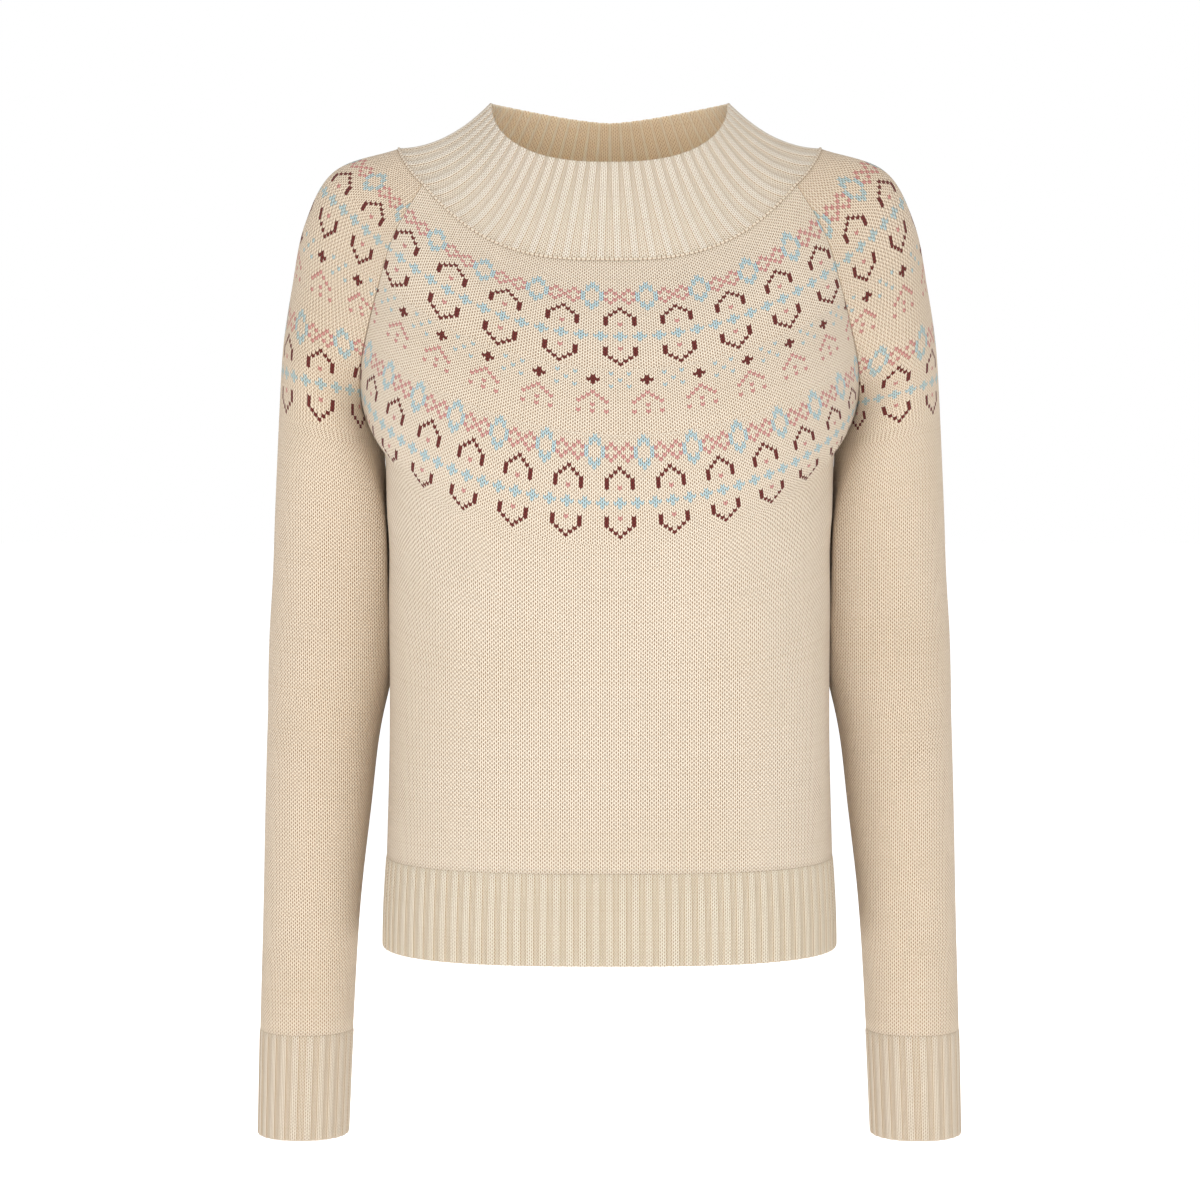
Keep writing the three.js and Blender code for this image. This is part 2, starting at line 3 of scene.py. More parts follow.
import bmesh
import bpy
import numpy as np
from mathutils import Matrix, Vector


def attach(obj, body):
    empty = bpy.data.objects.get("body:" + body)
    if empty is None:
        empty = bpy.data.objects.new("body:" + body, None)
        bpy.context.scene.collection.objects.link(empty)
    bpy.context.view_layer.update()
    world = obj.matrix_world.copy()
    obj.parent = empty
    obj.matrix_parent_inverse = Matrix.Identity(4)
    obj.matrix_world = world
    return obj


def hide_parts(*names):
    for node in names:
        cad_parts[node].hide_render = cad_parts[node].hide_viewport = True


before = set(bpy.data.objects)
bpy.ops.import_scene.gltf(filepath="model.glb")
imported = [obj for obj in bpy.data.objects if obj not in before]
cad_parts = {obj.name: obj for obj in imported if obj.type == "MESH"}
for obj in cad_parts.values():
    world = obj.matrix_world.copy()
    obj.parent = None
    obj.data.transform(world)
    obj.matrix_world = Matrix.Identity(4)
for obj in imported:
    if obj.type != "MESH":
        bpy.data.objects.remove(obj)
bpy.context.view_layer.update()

# A knitted jumper with a patterned round yoke, filled out as if worn.
# Forms are worked out in millimetres, +Z up, front towards -Y, and put into the meshes in metres.
metre = 0.001


# camera, floor and lights

cameraSettings = {
    "place": (0.0, -3.0, -0.05),
    "aim": (-0.00684, 0.0, -0.315),
    "lens": 126,
    "sensor": 36,
    "farthest": 60,
}


def makeCamera(settings):
    camera = bpy.data.objects.new("photo_camera", bpy.data.cameras.new("photo_camera"))
    camera.data.lens = settings["lens"]
    camera.data.sensor_width = settings["sensor"]
    camera.data.sensor_fit = "HORIZONTAL"
    camera.data.clip_end = settings["farthest"]
    camera.location = settings["place"]
    look = Vector(settings["aim"]) - Vector(settings["place"])
    camera.rotation_euler = look.to_track_quat("-Z", "Y").to_euler()
    bpy.context.scene.collection.objects.link(camera)
    bpy.context.scene.camera = camera


floorSettings = {"level": -0.95, "halfSize": 9.0, "colour": (0.9, 0.9, 0.9), "glow": 0.66}


def makeFloor(settings):
    # a level square, pale and faintly lit from itself, well below the garment
    half = settings["halfSize"]
    level = settings["level"]
    mesh = bpy.data.meshes.new("studio_floor")
    corners = [(-half, -half, level), (half, -half, level), (half, half, level), (-half, half, level)]
    mesh.from_pydata(corners, [], [(0, 1, 2, 3)])
    material = bpy.data.materials.new("studio_floor")
    material.use_nodes = True
    shader = material.node_tree.nodes["Principled BSDF"]
    shader.inputs["Base Color"].default_value = (*settings["colour"], 1)
    shader.inputs["Roughness"].default_value = 1.0
    shader.inputs["Emission Color"].default_value = (1, 1, 1, 1)
    shader.inputs["Emission Strength"].default_value = settings["glow"]
    mesh.materials.append(material)
    floor = bpy.data.objects.new("studio_floor", mesh)
    bpy.context.scene.collection.objects.link(floor)


lightSettings = {
    "key": {"place": (-2.4, -2.3, 0.7), "size": 2.4, "power": 28},
    "fill": {"place": (2.4, -2.4, 0.2), "size": 2.6, "power": 23},
    "front": {"place": (0.0, -3.6, 0.05), "size": 1.4, "power": 27},
    "top": {"place": (0.1, -0.3, 1.9), "size": 1.6, "power": 12},
    "rim": {"place": (0.3, 2.4, 0.6), "size": 2.0, "power": 14},
}
worldSettings = {"colour": (1.0, 1.0, 1.0), "strength": 0.49, "seenStrength": 1.0}
garmentMiddle = (0, 0, -0.33)


def makeLights(lights, world):
    for name, settings in lights.items():
        lamp = bpy.data.lights.new(name + "_light", "AREA")
        lamp.size = settings["size"]
        lamp.energy = settings["power"]
        light = bpy.data.objects.new(name + "_light", lamp)
        light.location = settings["place"]
        look = Vector(garmentMiddle) - Vector(settings["place"])
        light.rotation_euler = look.to_track_quat("-Z", "Y").to_euler()
        bpy.context.scene.collection.objects.link(light)
    sky = bpy.data.worlds.new("studio_air")
    sky.use_nodes = True
    sky.node_tree.nodes["Background"].inputs["Color"].default_value = (*world["colour"], 1)
    seen = sky.node_tree.nodes.new("ShaderNodeMapRange")
    seen.inputs["To Min"].default_value = world["strength"]
    seen.inputs["To Max"].default_value = world["seenStrength"]
    path = sky.node_tree.nodes.new("ShaderNodeLightPath")
    sky.node_tree.links.new(path.outputs["Is Camera Ray"], seen.inputs["Value"])
    sky.node_tree.links.new(seen.outputs["Result"], sky.node_tree.nodes["Background"].inputs["Strength"])
    bpy.context.scene.world = sky
    bpy.context.scene.view_settings.view_transform = "Standard"


makeCamera(cameraSettings)
makeFloor(floorSettings)
makeLights(lightSettings, worldSettings)
print("camera, floor and lights made")


# yarns, as they look in daylight on a scale to 255

yarns = {
    ".": (231, 218, 199),
    "s": (226, 206, 178),
    "b": (182, 206, 212),
    "p": (208, 150, 146),
    "m": (108, 46, 42),
}


def daylight(colour):
    # the usual screen curve undone, so that shaders get the light that the colour stands for
    share = np.asarray(colour, float) / 255
    return np.where(share > 0.04045, ((share + 0.055) / 1.055) ** 2.4, share / 12.92)


# the knitted pattern, twelve stitches wide, one line for a course, read from the neck down

bandChart = """
.........b..
........bbb.
.p...p..b.b.
p.p.p.pb...b
...p...b...b
p.p.p.pb...b
.p...p..b.b.
........bbb.
...m.....b..
..m.m.......
.m...m......
m.....m.....
m.....m.....
m..p..m.....
............
............
...b...b...b
b.bbb.bbb.bb
...b...b...b
............
............
m..p..m.....
m.....m.....
m.....m.....
.m...m......
..m.m.......
...m........
""".split()

starChart = """
............
....b...b...
m...........
mm....b....m
m...........
....b...b...
............
p...........
.p.........p
..p.......p.
...p.....p..
p...........
............
p..p.....p..
............
............
............
............
............
""".split()

# the column of each chart that its roundels, or its stars, stand on
bandMiddle = 3
starMiddle = 0


# sizes of the form, repeated from the solid model

levels = {"hem": -562, "hemRibTop": -497, "cuff": -700, "cuffRibTop": -624, "underarm": -205}
gaps = {"seam": 0.4, "neck": 0.7, "underarm": 0.35}
wallThickness = 1.8

neckRim = {
    "halfWidth": 84, "frontY": -50, "backY": 62, "middleY": 5, "roundness": 2.5,
    "sideZ": 39.6, "frontZ": -3, "backZ": 26.6,
}

# rings of the yoke, from the neck seam (down 0) to the underarm (down 1)
yokeRings = {
    "down": [0, 0.2, 0.4, 0.6, 0.76, 0.9, 1],
    "halfWidth": [150, 168, 176, 181, 181, 175, 161],
    "frontY": [-66, -88, -102, -110, -113, -113, -112.5],
    "backY": [88, 98, 105, 110, 112, 112, 111],
    "middleY": [9, 7, 5, 4, 4, 4, 4],
    "roundness": [2.4, 2.4, 2.4, 2.5, 2.6, 2.6, 2.7],
    "seamX": [131, 150.5, 161.5, 170, 175.5, 174, 161],
    "frontZ": [-70.8, -109.8, -145, -184, -222, -252, -272],
    "frontSeamZ": [-18, -52, -87, -121, -151, -181, -205],
    "backZ": [-38, -80, -123, -166, -204, -235, -257],
    "backSeamZ": [-10, -40, -74, -109, -141, -176, -205],
    "bow": [3, 2.2, 2.1, 2, 2, 2, 2],
    "rise": [0, 0, 0.05, 0.12, 0.2, 0.25, 0.25],
}

# the sleeve's share of each yoke ring: the point over the shoulder and how the ring leaves the seam
shoulderRings = {
    "down": [0, 0.2, 0.4, 0.6, 0.76, 0.9, 1],
    "shoulderX": [150, 196, 217.5, 227, 233.3, 236.2, 237.3],
    "shoulderY": [8, 8, 9, 11, 12, 14, 16],
    "shoulderZ": [7, -9, -47, -93, -133, -166, -190],
    "frontTurn": [45, 44, 28, 4, -28, -65, -90],
    "backTurn": [46, 44, 32, 14, -14, -55, -90],
    "reach": [16, 24, 34, 38, 44, 56, 74],
    "wrap": [16, 22, 34, 42, 52, 62, 76],
}

# the body below the underarm
bodyLevels = {
    "down": [0, 0.2, 0.6, 1],
    "halfWidth": [161, 158.5, 157.5, 160],
    "frontY": [-112.5, -111, -108, -108],
    "backY": [111, 109, 106, 108],
    "middleY": [4, 3, 1, 0],
    "roundness": [2.7, 2.7, 2.7, 2.7],
}

# sleeve sections by their fall below the underarm
sleeveSections = {
    "fall": [0, 40, 95, 141, 202, 256, 328, 419, 495],
    "outerX": [237.3, 240.4, 242.6, 245.3, 246.6, 248, 249.5, 252, 253.8],
    "innerX": [161, 148, 147, 152, 165.2, 171.6, 179.6, 185.2, 188.8],
    "middleY": [16, 22, 22, 18, 12, 7, 1, -5, -8],
    "halfDepth": [57, 56, 54, 51, 47, 43.5, 40, 36.5, 34.5],
}
sleeveRoundness = 2.2

# how the rings climb at their sides: a steep part near the seam, and the body's lift fading downwards
seamClimbPower = 10
liftFadePower = 2.2
# the share of the climb from seam to shoulder that the curve's first handle makes
shoulderHandleClimb = 0.35

# soft troughs: from one point to another on the front view, with width and depth
frontFolds = {
    "fromX": [152, 154, 44], "fromZ": [-205, -262, -300],
    "toX": [96, 122, 36], "toZ": [-300, -352, -452],
    "width": [18, 13, 17], "depth": [2.4, 2.4, 2.2],
}
backFolds = {
    "fromX": [150, 40], "fromZ": [-204, -292],
    "toX": [84, 52], "toZ": [-318, -440],
    "width": [20, 18], "depth": [2.2, 2.4],
}
sleeveFolds = {
    "fromX": [176, 172, 236, 200], "fromZ": [-222, -268, -386, -520],
    "toX": [214, 222, 196, 238], "toZ": [-276, -342, -436, -566],
    "width": [16, 16, 12, 11], "depth": [1.8, 2.0, 2.0, 1.6],
}


# reading tables, rings and grids

def signedPower(value, power):
    return np.sign(value) * np.abs(value) ** power


def smoothStep(value, low, high):
    # 0 below low, 1 above high, and the cubic 3t^2 - 2t^3 between them
    part = np.clip((value - low) / (high - low), 0, 1)
    return part * part * (3 - 2 * part)


def mix(first, second, part):
    return first + (second - first) * part


def readTable(table, key, place):
    # each column as a cubic curve through its rows, with the slope at a row from its neighbours
    keys = np.asarray(table[key], float)
    last = len(keys) - 1
    row = np.clip(np.searchsorted(keys, place) - 1, 0, last - 1)
    before = np.maximum(row - 1, 0)
    after = np.minimum(row + 2, last)
    span = keys[row + 1] - keys[row]
    part = np.clip((place - keys[row]) / span, 0, 1)
    rise = part * part * (3 - 2 * part)
    ease = part * (1 - part)
    result = {}
    for name, column in table.items():
        values = np.asarray(column, float)
        startSlope = (values[row + 1] - values[before]) / (keys[row + 1] - keys[before]) * span
        endSlope = (values[after] - values[row]) / (keys[after] - keys[row]) * span
        step = values[row + 1] - values[row]
        result[name] = values[row] + step * rise + ease * ((1 - part) * startSlope - part * endSlope)
    return result


def ovalPoint(section, angle):
    # a rounded oval: x = halfWidth sin(a)^(2/n), y = middle + depth cos(a)^(2/n), from the centre front
    across = signedPower(np.sin(angle), 2 / section["roundness"])
    along = signedPower(np.cos(angle), 2 / section["roundness"])
    frontDepth = section["frontY"] - section["middleY"]
    backDepth = section["middleY"] - section["backY"]
    y = section["middleY"] + np.where(along > 0, frontDepth, backDepth) * along
    x = section["halfWidth"] * across
    return np.stack([x, y + 0 * x, 0 * x], axis=-1)


def yokeHalf(down, isBack, share):
    # half of a yoke ring, centre to armhole seam: its height rises as the bow power of the distance out
    ring = readTable(yokeRings, "down", down)
    reached = np.minimum(ring["seamX"] / ring["halfWidth"], 1)
    angle = np.arcsin(reached ** (ring["roundness"] / 2)) * share
    points = ovalPoint(ring, np.pi - angle if isBack else angle)
    centreZ = ring["backZ" if isBack else "frontZ"]
    seamZ = ring["backSeamZ" if isBack else "frontSeamZ"]
    out = np.clip(points[..., 0] / ring["seamX"], 0, None)
    height = (1 - ring["rise"]) * out ** ring["bow"] + ring["rise"] * out ** seamClimbPower
    points[..., 2] = centreZ + (seamZ - centreZ) * height
    return points


def shoulderHalf(down, isBack, share):
    # half of the sleeve's share of a ring: a cubic Bezier curve from the seam to the shoulder point
    ring = readTable(shoulderRings, "down", down)
    start = yokeHalf(down, isBack, np.ones_like(down))
    end = np.stack([ring["shoulderX"], ring["shoulderY"], ring["shoulderZ"]], axis=-1)
    turn = np.radians(ring["backTurn" if isBack else "frontTurn"])
    side = -1 if isBack else 1
    leave = np.stack([np.cos(turn), side * np.sin(turn), 0 * turn], axis=-1)
    first = start + leave * ring["reach"][..., None]
    first[..., 2] += shoulderHandleClimb * (end - start)[..., 2]
    second = end.copy()
    second[..., 1] -= side * ring["wrap"]
    part = share[..., None]
    rest = 1 - part
    return start * rest ** 3 + 3 * first * rest ** 2 * part + 3 * second * rest * part ** 2 + end * part ** 3


def bodyHalf(down, isBack, share):
    # half of a body ring below the underarm: level at the hem, and lifted at the sides higher up
    section = readTable(bodyLevels, "down", down)
    topCentre = yokeRings["backZ" if isBack else "frontZ"][-1]
    rise = yokeRings["rise"][-1]
    angle = np.pi / 2 * share + 0 * down
    points = ovalPoint(section, np.pi - angle if isBack else angle)
    out = np.clip(points[..., 0] / section["halfWidth"], 0, None)
    lift = (levels["underarm"] - topCentre) * (1 - down) ** liftFadePower
    height = (1 - rise) * out ** yokeRings["bow"][-1] + rise * out ** seamClimbPower
    points[..., 2] = mix(topCentre, levels["hemRibTop"], down) + lift * height
    return points


def bodyReach(level, depth):
    # how far the body's rounded oval reaches sideways at a level and a depth
    down = np.clip((levels["underarm"] - level) / (levels["underarm"] - levels["hemRibTop"]), 0, 1)
    section = readTable(bodyLevels, "down", down)
    frontDepth = section["middleY"] - section["frontY"]
    backDepth = section["backY"] - section["middleY"]
    half = np.where(depth < section["middleY"], frontDepth, backDepth)
    share = np.minimum(np.abs(depth - section["middleY"]) / half, 1)
    return section["halfWidth"] * (1 - share ** section["roundness"]) ** (1 / section["roundness"])


def sleeveRing(level, tilt, share):
    # a rounded oval round the arm from the inside by the front, kept clear of the body's side
    fall = levels["underarm"] - level
    section = readTable(sleeveSections, "fall", fall)
    halfWidth = (section["outerX"] - section["innerX"]) / 2
    middleX = (section["outerX"] + section["innerX"]) / 2
    clearance = mix(gaps["seam"], gaps["underarm"], smoothStep(fall, 0, 26))
    across = signedPower(np.cos(2 * np.pi * share), 2 / sleeveRoundness)
    along = signedPower(np.sin(2 * np.pi * share), 2 / sleeveRoundness)
    y = section["middleY"] - section["halfDepth"] * along
    x = np.maximum(middleX - halfWidth * across, bodyReach(level + 0 * y, y) + clearance)
    return np.stack([x, y, level - tilt * across], axis=-1)


def evenSpacing(curves, count):
    # each row of points read again at even shares of its own length
    steps = np.linalg.norm(np.diff(curves, axis=1), axis=2)
    lengths = np.concatenate([np.zeros((len(curves), 1)), np.cumsum(steps, axis=1)], axis=1)
    wanted = np.linspace(0, 1, count + 1)
    numbers = np.arange(curves.shape[1])
    place = np.array([np.interp(wanted * row[-1], row, numbers) for row in lengths])
    index = np.minimum(place.astype(int), curves.shape[1] - 2)
    part = (place - index)[..., None]
    rows = np.arange(len(curves))[:, None]
    return mix(curves[rows, index], curves[rows, index + 1], part)


def unit(vectors):
    return vectors / np.maximum(np.linalg.norm(vectors, axis=-1, keepdims=True), 1e-9)


def facingOf(grid):
    # the way out of the surface: the way down its rows crossed with the way along them
    return unit(np.cross(np.gradient(grid, axis=0), np.gradient(grid, axis=1)))


def splineWeights(part):
    # the four weights of a Catmull-Rom curve at a part of the middle span
    return (
        -0.5 * part ** 3 + part ** 2 - 0.5 * part,
        1.5 * part ** 3 - 2.5 * part ** 2 + 1,
        -1.5 * part ** 3 + 2 * part ** 2 + 0.5 * part,
        0.5 * part ** 3 - 0.5 * part ** 2,
    )


def readGrid(grid, rowPlace, columnPlace):
    # a smooth surface through a grid of points: Catmull-Rom curves down the rows and along them
    padded = np.concatenate([2 * grid[:1] - grid[1:2], grid, 2 * grid[-1:] - grid[-2:-1]])
    left = 2 * padded[:, :1] - padded[:, 1:2]
    right = 2 * padded[:, -1:] - padded[:, -2:-1]
    padded = np.concatenate([left, padded, right], axis=1)
    row = np.clip(np.floor(rowPlace).astype(int), 0, grid.shape[0] - 2)
    column = np.clip(np.floor(columnPlace).astype(int), 0, grid.shape[1] - 2)
    total = 0
    for i, rowWeight in enumerate(splineWeights(rowPlace - row)):
        for j, columnWeight in enumerate(splineWeights(columnPlace - column)):
            total = total + padded[row + i, column + j] * (rowWeight * columnWeight)[..., None]
    return total


# where a trough starts, is whole, begins to fade and is gone, as shares of its length
troughFade = {"start": -0.15, "whole": 0.25, "fading": 0.6, "gone": 1.15}


def pressFolds(points, folds):
    # how deep the troughs press: a bell across each trough, fading in and out along it
    press = 0
    for fromX, fromZ, toX, toZ, width, depth in zip(*folds.values()):
        length = math.hypot(toX - fromX, toZ - fromZ)
        offX = np.abs(points[..., 0]) - fromX
        offZ = points[..., 2] - fromZ
        along = (offX * (toX - fromX) + offZ * (toZ - fromZ)) / length
        aside = (offX * (toZ - fromZ) - offZ * (toX - fromX)) / length
        fadeIn = smoothStep(along, troughFade["start"] * length, troughFade["whole"] * length)
        fadeOut = 1 - smoothStep(along, troughFade["fading"] * length, troughFade["gone"] * length)
        press = press + depth * fadeIn * fadeOut * np.exp(-((aside / width) ** 2))
    return press


# courses count the rows of knitting down from the top of the pattern
courses = {"neck": -7, "underarm": 79, "hemRib": 162, "cuffRib": 237}
courseHeight = 2.7
yokeCourses = {
    "down": [0, 0.078, 0.201, 0.446, 0.753, 0.956, 1],
    "course": [-7, 0, 11.3, 31.8, 59.3, 75.6, 79],
}
curvePoints = np.linspace(0, 1, 401)[None, :]
yokeRows = 30

# how many courses lower each panel's yoke pattern lies than its rings: level, lean and bend
twists = {"front": (0, 3.1, 1.9), "back": (0, 0, 0), "left": (2.5, -2.5, 0), "right": (-0.6, -0.6, 0)}
# the courses between which that is whole
twistWhole = {"from": 10, "to": 52}
# the share of the sleeve's tube over which it takes its own section, and how far round its folds reach
tubeOpens = 0.12
foldsReach = 0.9


def panelForm(isBack, folds):
    # the front or back as a grid: a row for about each third course, from one side seam to the other
    halfColumns = 24
    bodyRows = 28
    down = np.linspace(0, 1, yokeRows)[:, None]
    yoke = evenSpacing(yokeHalf(down, isBack, curvePoints), halfColumns)
    low = np.linspace(0, 1, bodyRows + 1)[1:, None]
    body = evenSpacing(bodyHalf(low, isBack, curvePoints), halfColumns)
    half = np.concatenate([yoke, body])
    grid = np.concatenate([half[:, :0:-1] * [-1, 1, 1], half], axis=1)
    grid = grid[:, ::-1] if isBack else grid
    grid = grid - facingOf(grid) * pressFolds(grid, folds)[..., None]
    upperCourses = np.interp(down[:, 0], yokeCourses["down"], yokeCourses["course"])
    lowerCourses = mix(courses["underarm"], courses["hemRib"], low[:, 0])
    twist = twists["back" if isBack else "front"]
    return formOf(grid, np.concatenate([upperCourses, lowerCourses]), len(grid), twist)


underarmSoftness = {"steps": 40, "rowsUp": 4.5, "rowsDown": 7.0, "edgePower": 6}


def softened(grid, underarmRow):
    # points near the underarm drawn to the middle of those above and below, but not at the seams
    rowsOff = np.arange(len(grid)) - underarmRow
    reach = np.where(rowsOff < 0, underarmSoftness["rowsUp"], underarmSoftness["rowsDown"])
    place = np.linspace(-1, 1, grid.shape[1])
    weight = np.exp(-((rowsOff / reach) ** 2))[:, None] * (1 - np.abs(place) ** underarmSoftness["edgePower"])
    result = grid.copy()
    for _ in range(underarmSoftness["steps"]):
        between = (result[:-2] + result[2:]) / 2
        result[1:-1] = mix(result[1:-1], between, weight[1:-1, :, None] / 2)
    return result


def sleeveForm(side):
    # a sleeve as a grid: from the front armhole seam round the outside to the back one, then a tube
    halfColumns = 20
    tubeRows = 54
    down = np.linspace(0, 1, yokeRows)[:, None]
    front = evenSpacing(shoulderHalf(down, False, curvePoints), halfColumns)
    back = evenSpacing(shoulderHalf(down, True, curvePoints), halfColumns)[:, ::-1]
    yoke = np.concatenate([front, back[:, 1:]], axis=1)
    low = np.linspace(0, 1, tubeRows)[:, None]
    topTilt = (shoulderRings["shoulderZ"][-1] - levels["underarm"]) / 2
    level = mix(levels["underarm"] + topTilt, levels["cuffRibTop"], low)
    tube = evenSpacing(sleeveRing(level, topTilt * (1 - low) ** 2, curvePoints), 2 * halfColumns)
    # the tube starts with the yoke's last ring and takes its own section over a short way
    opened = smoothStep(low, 0, tubeOpens)[..., None]
    tube = mix(yoke[-1:] + tube - tube[:1], tube, opened)
    grid = np.concatenate([yoke, tube[1:]])
    # no fold reaches the inside of the arm, where the tube lies by the body and closes
    pressed = pressFolds(grid, sleeveFolds)
    closeness = np.abs(np.linspace(-1, 1, 2 * halfColumns + 1))[None, :]
    pressed[yokeRows:] *= 1 - smoothStep(closeness, foldsReach, 1.0)
    grid = grid - facingOf(grid) * pressed[..., None]
    grid[yokeRows - 1:, -1] = grid[yokeRows - 1:, 0]
    grid = softened(grid, yokeRows - 1)
    upperCourses = np.interp(down[:, 0], yokeCourses["down"], yokeCourses["course"])
    tubeCourses = mix(courses["underarm"], courses["cuffRib"], low[1:, 0])
    grid = grid if side > 0 else (grid * [-1, 1, 1])[:, ::-1]
    twist = twists["left" if side > 0 else "right"]
    return formOf(grid, np.concatenate([upperCourses, tubeCourses]), yokeRows - 1, twist)


def formOf(grid, rowCourses, closedFrom, twist):
    # the grid with its ways out, which agree at both ends of each row that closes into a ring
    facing = facingOf(grid)
    joined = unit(facing[closedFrom:, 0] + facing[closedFrom:, -1])
    facing[closedFrom:, 0] = joined
    facing[closedFrom:, -1] = joined
    steps = np.linalg.norm(np.diff(grid, axis=1), axis=2)
    return {
        "grid": grid, "facing": facing, "courses": rowCourses, "lengths": steps.sum(axis=1),
        "twist": twist,
    }


def lengthAt(form, course):
    return np.interp(course, form["courses"], form["lengths"])


def pointAt(form, course, place):
    # the point at a course and at a place from -1 to 1 along it, and the way out there: the yoke's
    # courses lie lower by level + lean t + bend t^2, which fades out at the neck and the underarm
    level, lean, bend = form["twist"]
    faded = smoothStep(course, courses["neck"], twistWhole["from"])
    faded = faded * (1 - smoothStep(course, twistWhole["to"], courses["underarm"]))
    lowered = course + (level + lean * place + bend * place ** 2) * faded
    rowPlace = np.interp(lowered, form["courses"], np.arange(len(form["courses"])))
    columnPlace = (place + 1) / 2 * (form["grid"].shape[1] - 1)
    outward = unit(readGrid(form["facing"], rowPlace, columnPlace))
    return readGrid(form["grid"], rowPlace, columnPlace), outward


# joining rows of points into faces

def zipRows(upper, upperPlaces, lower, lowerPlaces):
    # triangles between two rows of different counts, each side stepping on when its next point is nearer
    lowerStep = np.minimum(np.searchsorted(lowerPlaces[1:], upperPlaces[1:]), len(lower) - 1)
    upperStep = np.minimum(np.searchsorted(upperPlaces[1:], lowerPlaces[1:], side="right"), len(upper) - 1)
    fromUpper = np.stack([upper[:-1], lower[lowerStep], upper[1:]], axis=1)
    fromLower = np.stack([upper[upperStep], lower[:-1], lower[1:]], axis=1)
    return np.concatenate([fromUpper, fromLower])


def joinRows(upper, lower):
    return np.stack([upper[:-1], lower[:-1], lower[1:], upper[1:]], axis=1)


def makeMesh(name, points, faceGroups, materials):
    # faceGroups: for each, faces, the stitch coordinates of their corners, their colours and material
    faces = []
    stitches = []
    colours = []
    slots = []
    smooth = []
    for group in faceGroups:
        faces += group["faces"].tolist()
        stitches.append(group["stitches"].reshape(-1, 2))
        colours.append(np.broadcast_to(group["colours"], (len(group["faces"]), 3)))
        slots.append(np.broadcast_to(group["slot"], len(group["faces"])))
        smooth.append(np.full(len(group["faces"]), not group.get("isEdge")))
    mesh = bpy.data.meshes.new(name)
    mesh.from_pydata((points * metre).tolist(), [], faces)
    layer = mesh.uv_layers.new(name="stitches")
    layer.data.foreach_set("uv", np.concatenate(stitches).ravel().astype(np.float32))
    yarn = mesh.attributes.new("yarn", "FLOAT_COLOR", "FACE")
    colour = np.concatenate(colours)
    yarn.data.foreach_set("color", np.column_stack([colour, np.ones(len(colour))]).ravel().astype(np.float32))
    for material in materials:
        mesh.materials.append(material)
    mesh.polygons.foreach_set("material_index", np.concatenate(slots).astype(np.int32))
    mesh.polygons.foreach_set("use_smooth", np.concatenate(smooth))
    mesh.update()
    weldSeams(mesh)
    piece = bpy.data.objects.new(name, mesh)
    bpy.context.scene.collection.objects.link(piece)
    return piece


def weldSeams(mesh):
    # points that lie in one place become one, as where a sleeve closes into a tube
    edit = bmesh.new()
    edit.from_mesh(mesh)
    bmesh.ops.remove_doubles(edit, verts=edit.verts, dist=0.00001)
    edit.to_mesh(mesh)
    edit.free()


# the wool

stitchSettings = {
    "legSlant": 0.62,
    # how strongly the holes and the grooves take painted shade, and sink the relief
    "hole": 1.0, "holeAside": (0.25, 0.9), "holeAtEnds": (0.2, 0.85),
    "groove": 0.2, "strandDip": 0.25, "bumpDepth": 0.0007,
}


def number(tree, operation, *values):
    node = tree.nodes.new("ShaderNodeMath")
    node.operation = operation
    for socket, value in zip(node.inputs, values):
        if isinstance(value, (int, float)):
            socket.default_value = value
        else:
            tree.links.new(value, socket)
    return node.outputs[0]


def rampBetween(tree, value, low, high):
    node = tree.nodes.new("ShaderNodeMapRange")
    node.interpolation_type = "SMOOTHSTEP"
    node.inputs["From Min"].default_value = low
    node.inputs["From Max"].default_value = high
    tree.links.new(value, node.inputs["Value"])
    return node.outputs["Result"]


def noiseValue(tree, noise, vector=None):
    node = tree.nodes.new("ShaderNodeTexNoise")
    node.inputs["Scale"].default_value = noise["scale"]
    node.inputs["Detail"].default_value = noise["detail"]
    if vector is None:
        vector = tree.nodes.new("ShaderNodeTexCoord").outputs["Object"]
    tree.links.new(vector, node.inputs["Vector"])
    return node.outputs["Fac"]


def patches(tree, noise, vector=None):
    # 0 to 1 in soft patches
    return rampBetween(tree, noiseValue(tree, noise, vector), noise["low"], noise["high"])


def tinted(tree, colour, tint, factor):
    # the colour, multiplied by the tint where the factor is 1
    node = tree.nodes.new("ShaderNodeMix")
    node.data_type = "RGBA"
    node.blend_type = "MULTIPLY"
    tree.links.new(factor, node.inputs["Factor"])
    tree.links.new(colour, node.inputs["A"])
    node.inputs["B"].default_value = (*tint, 1)
    return node.outputs["Result"]


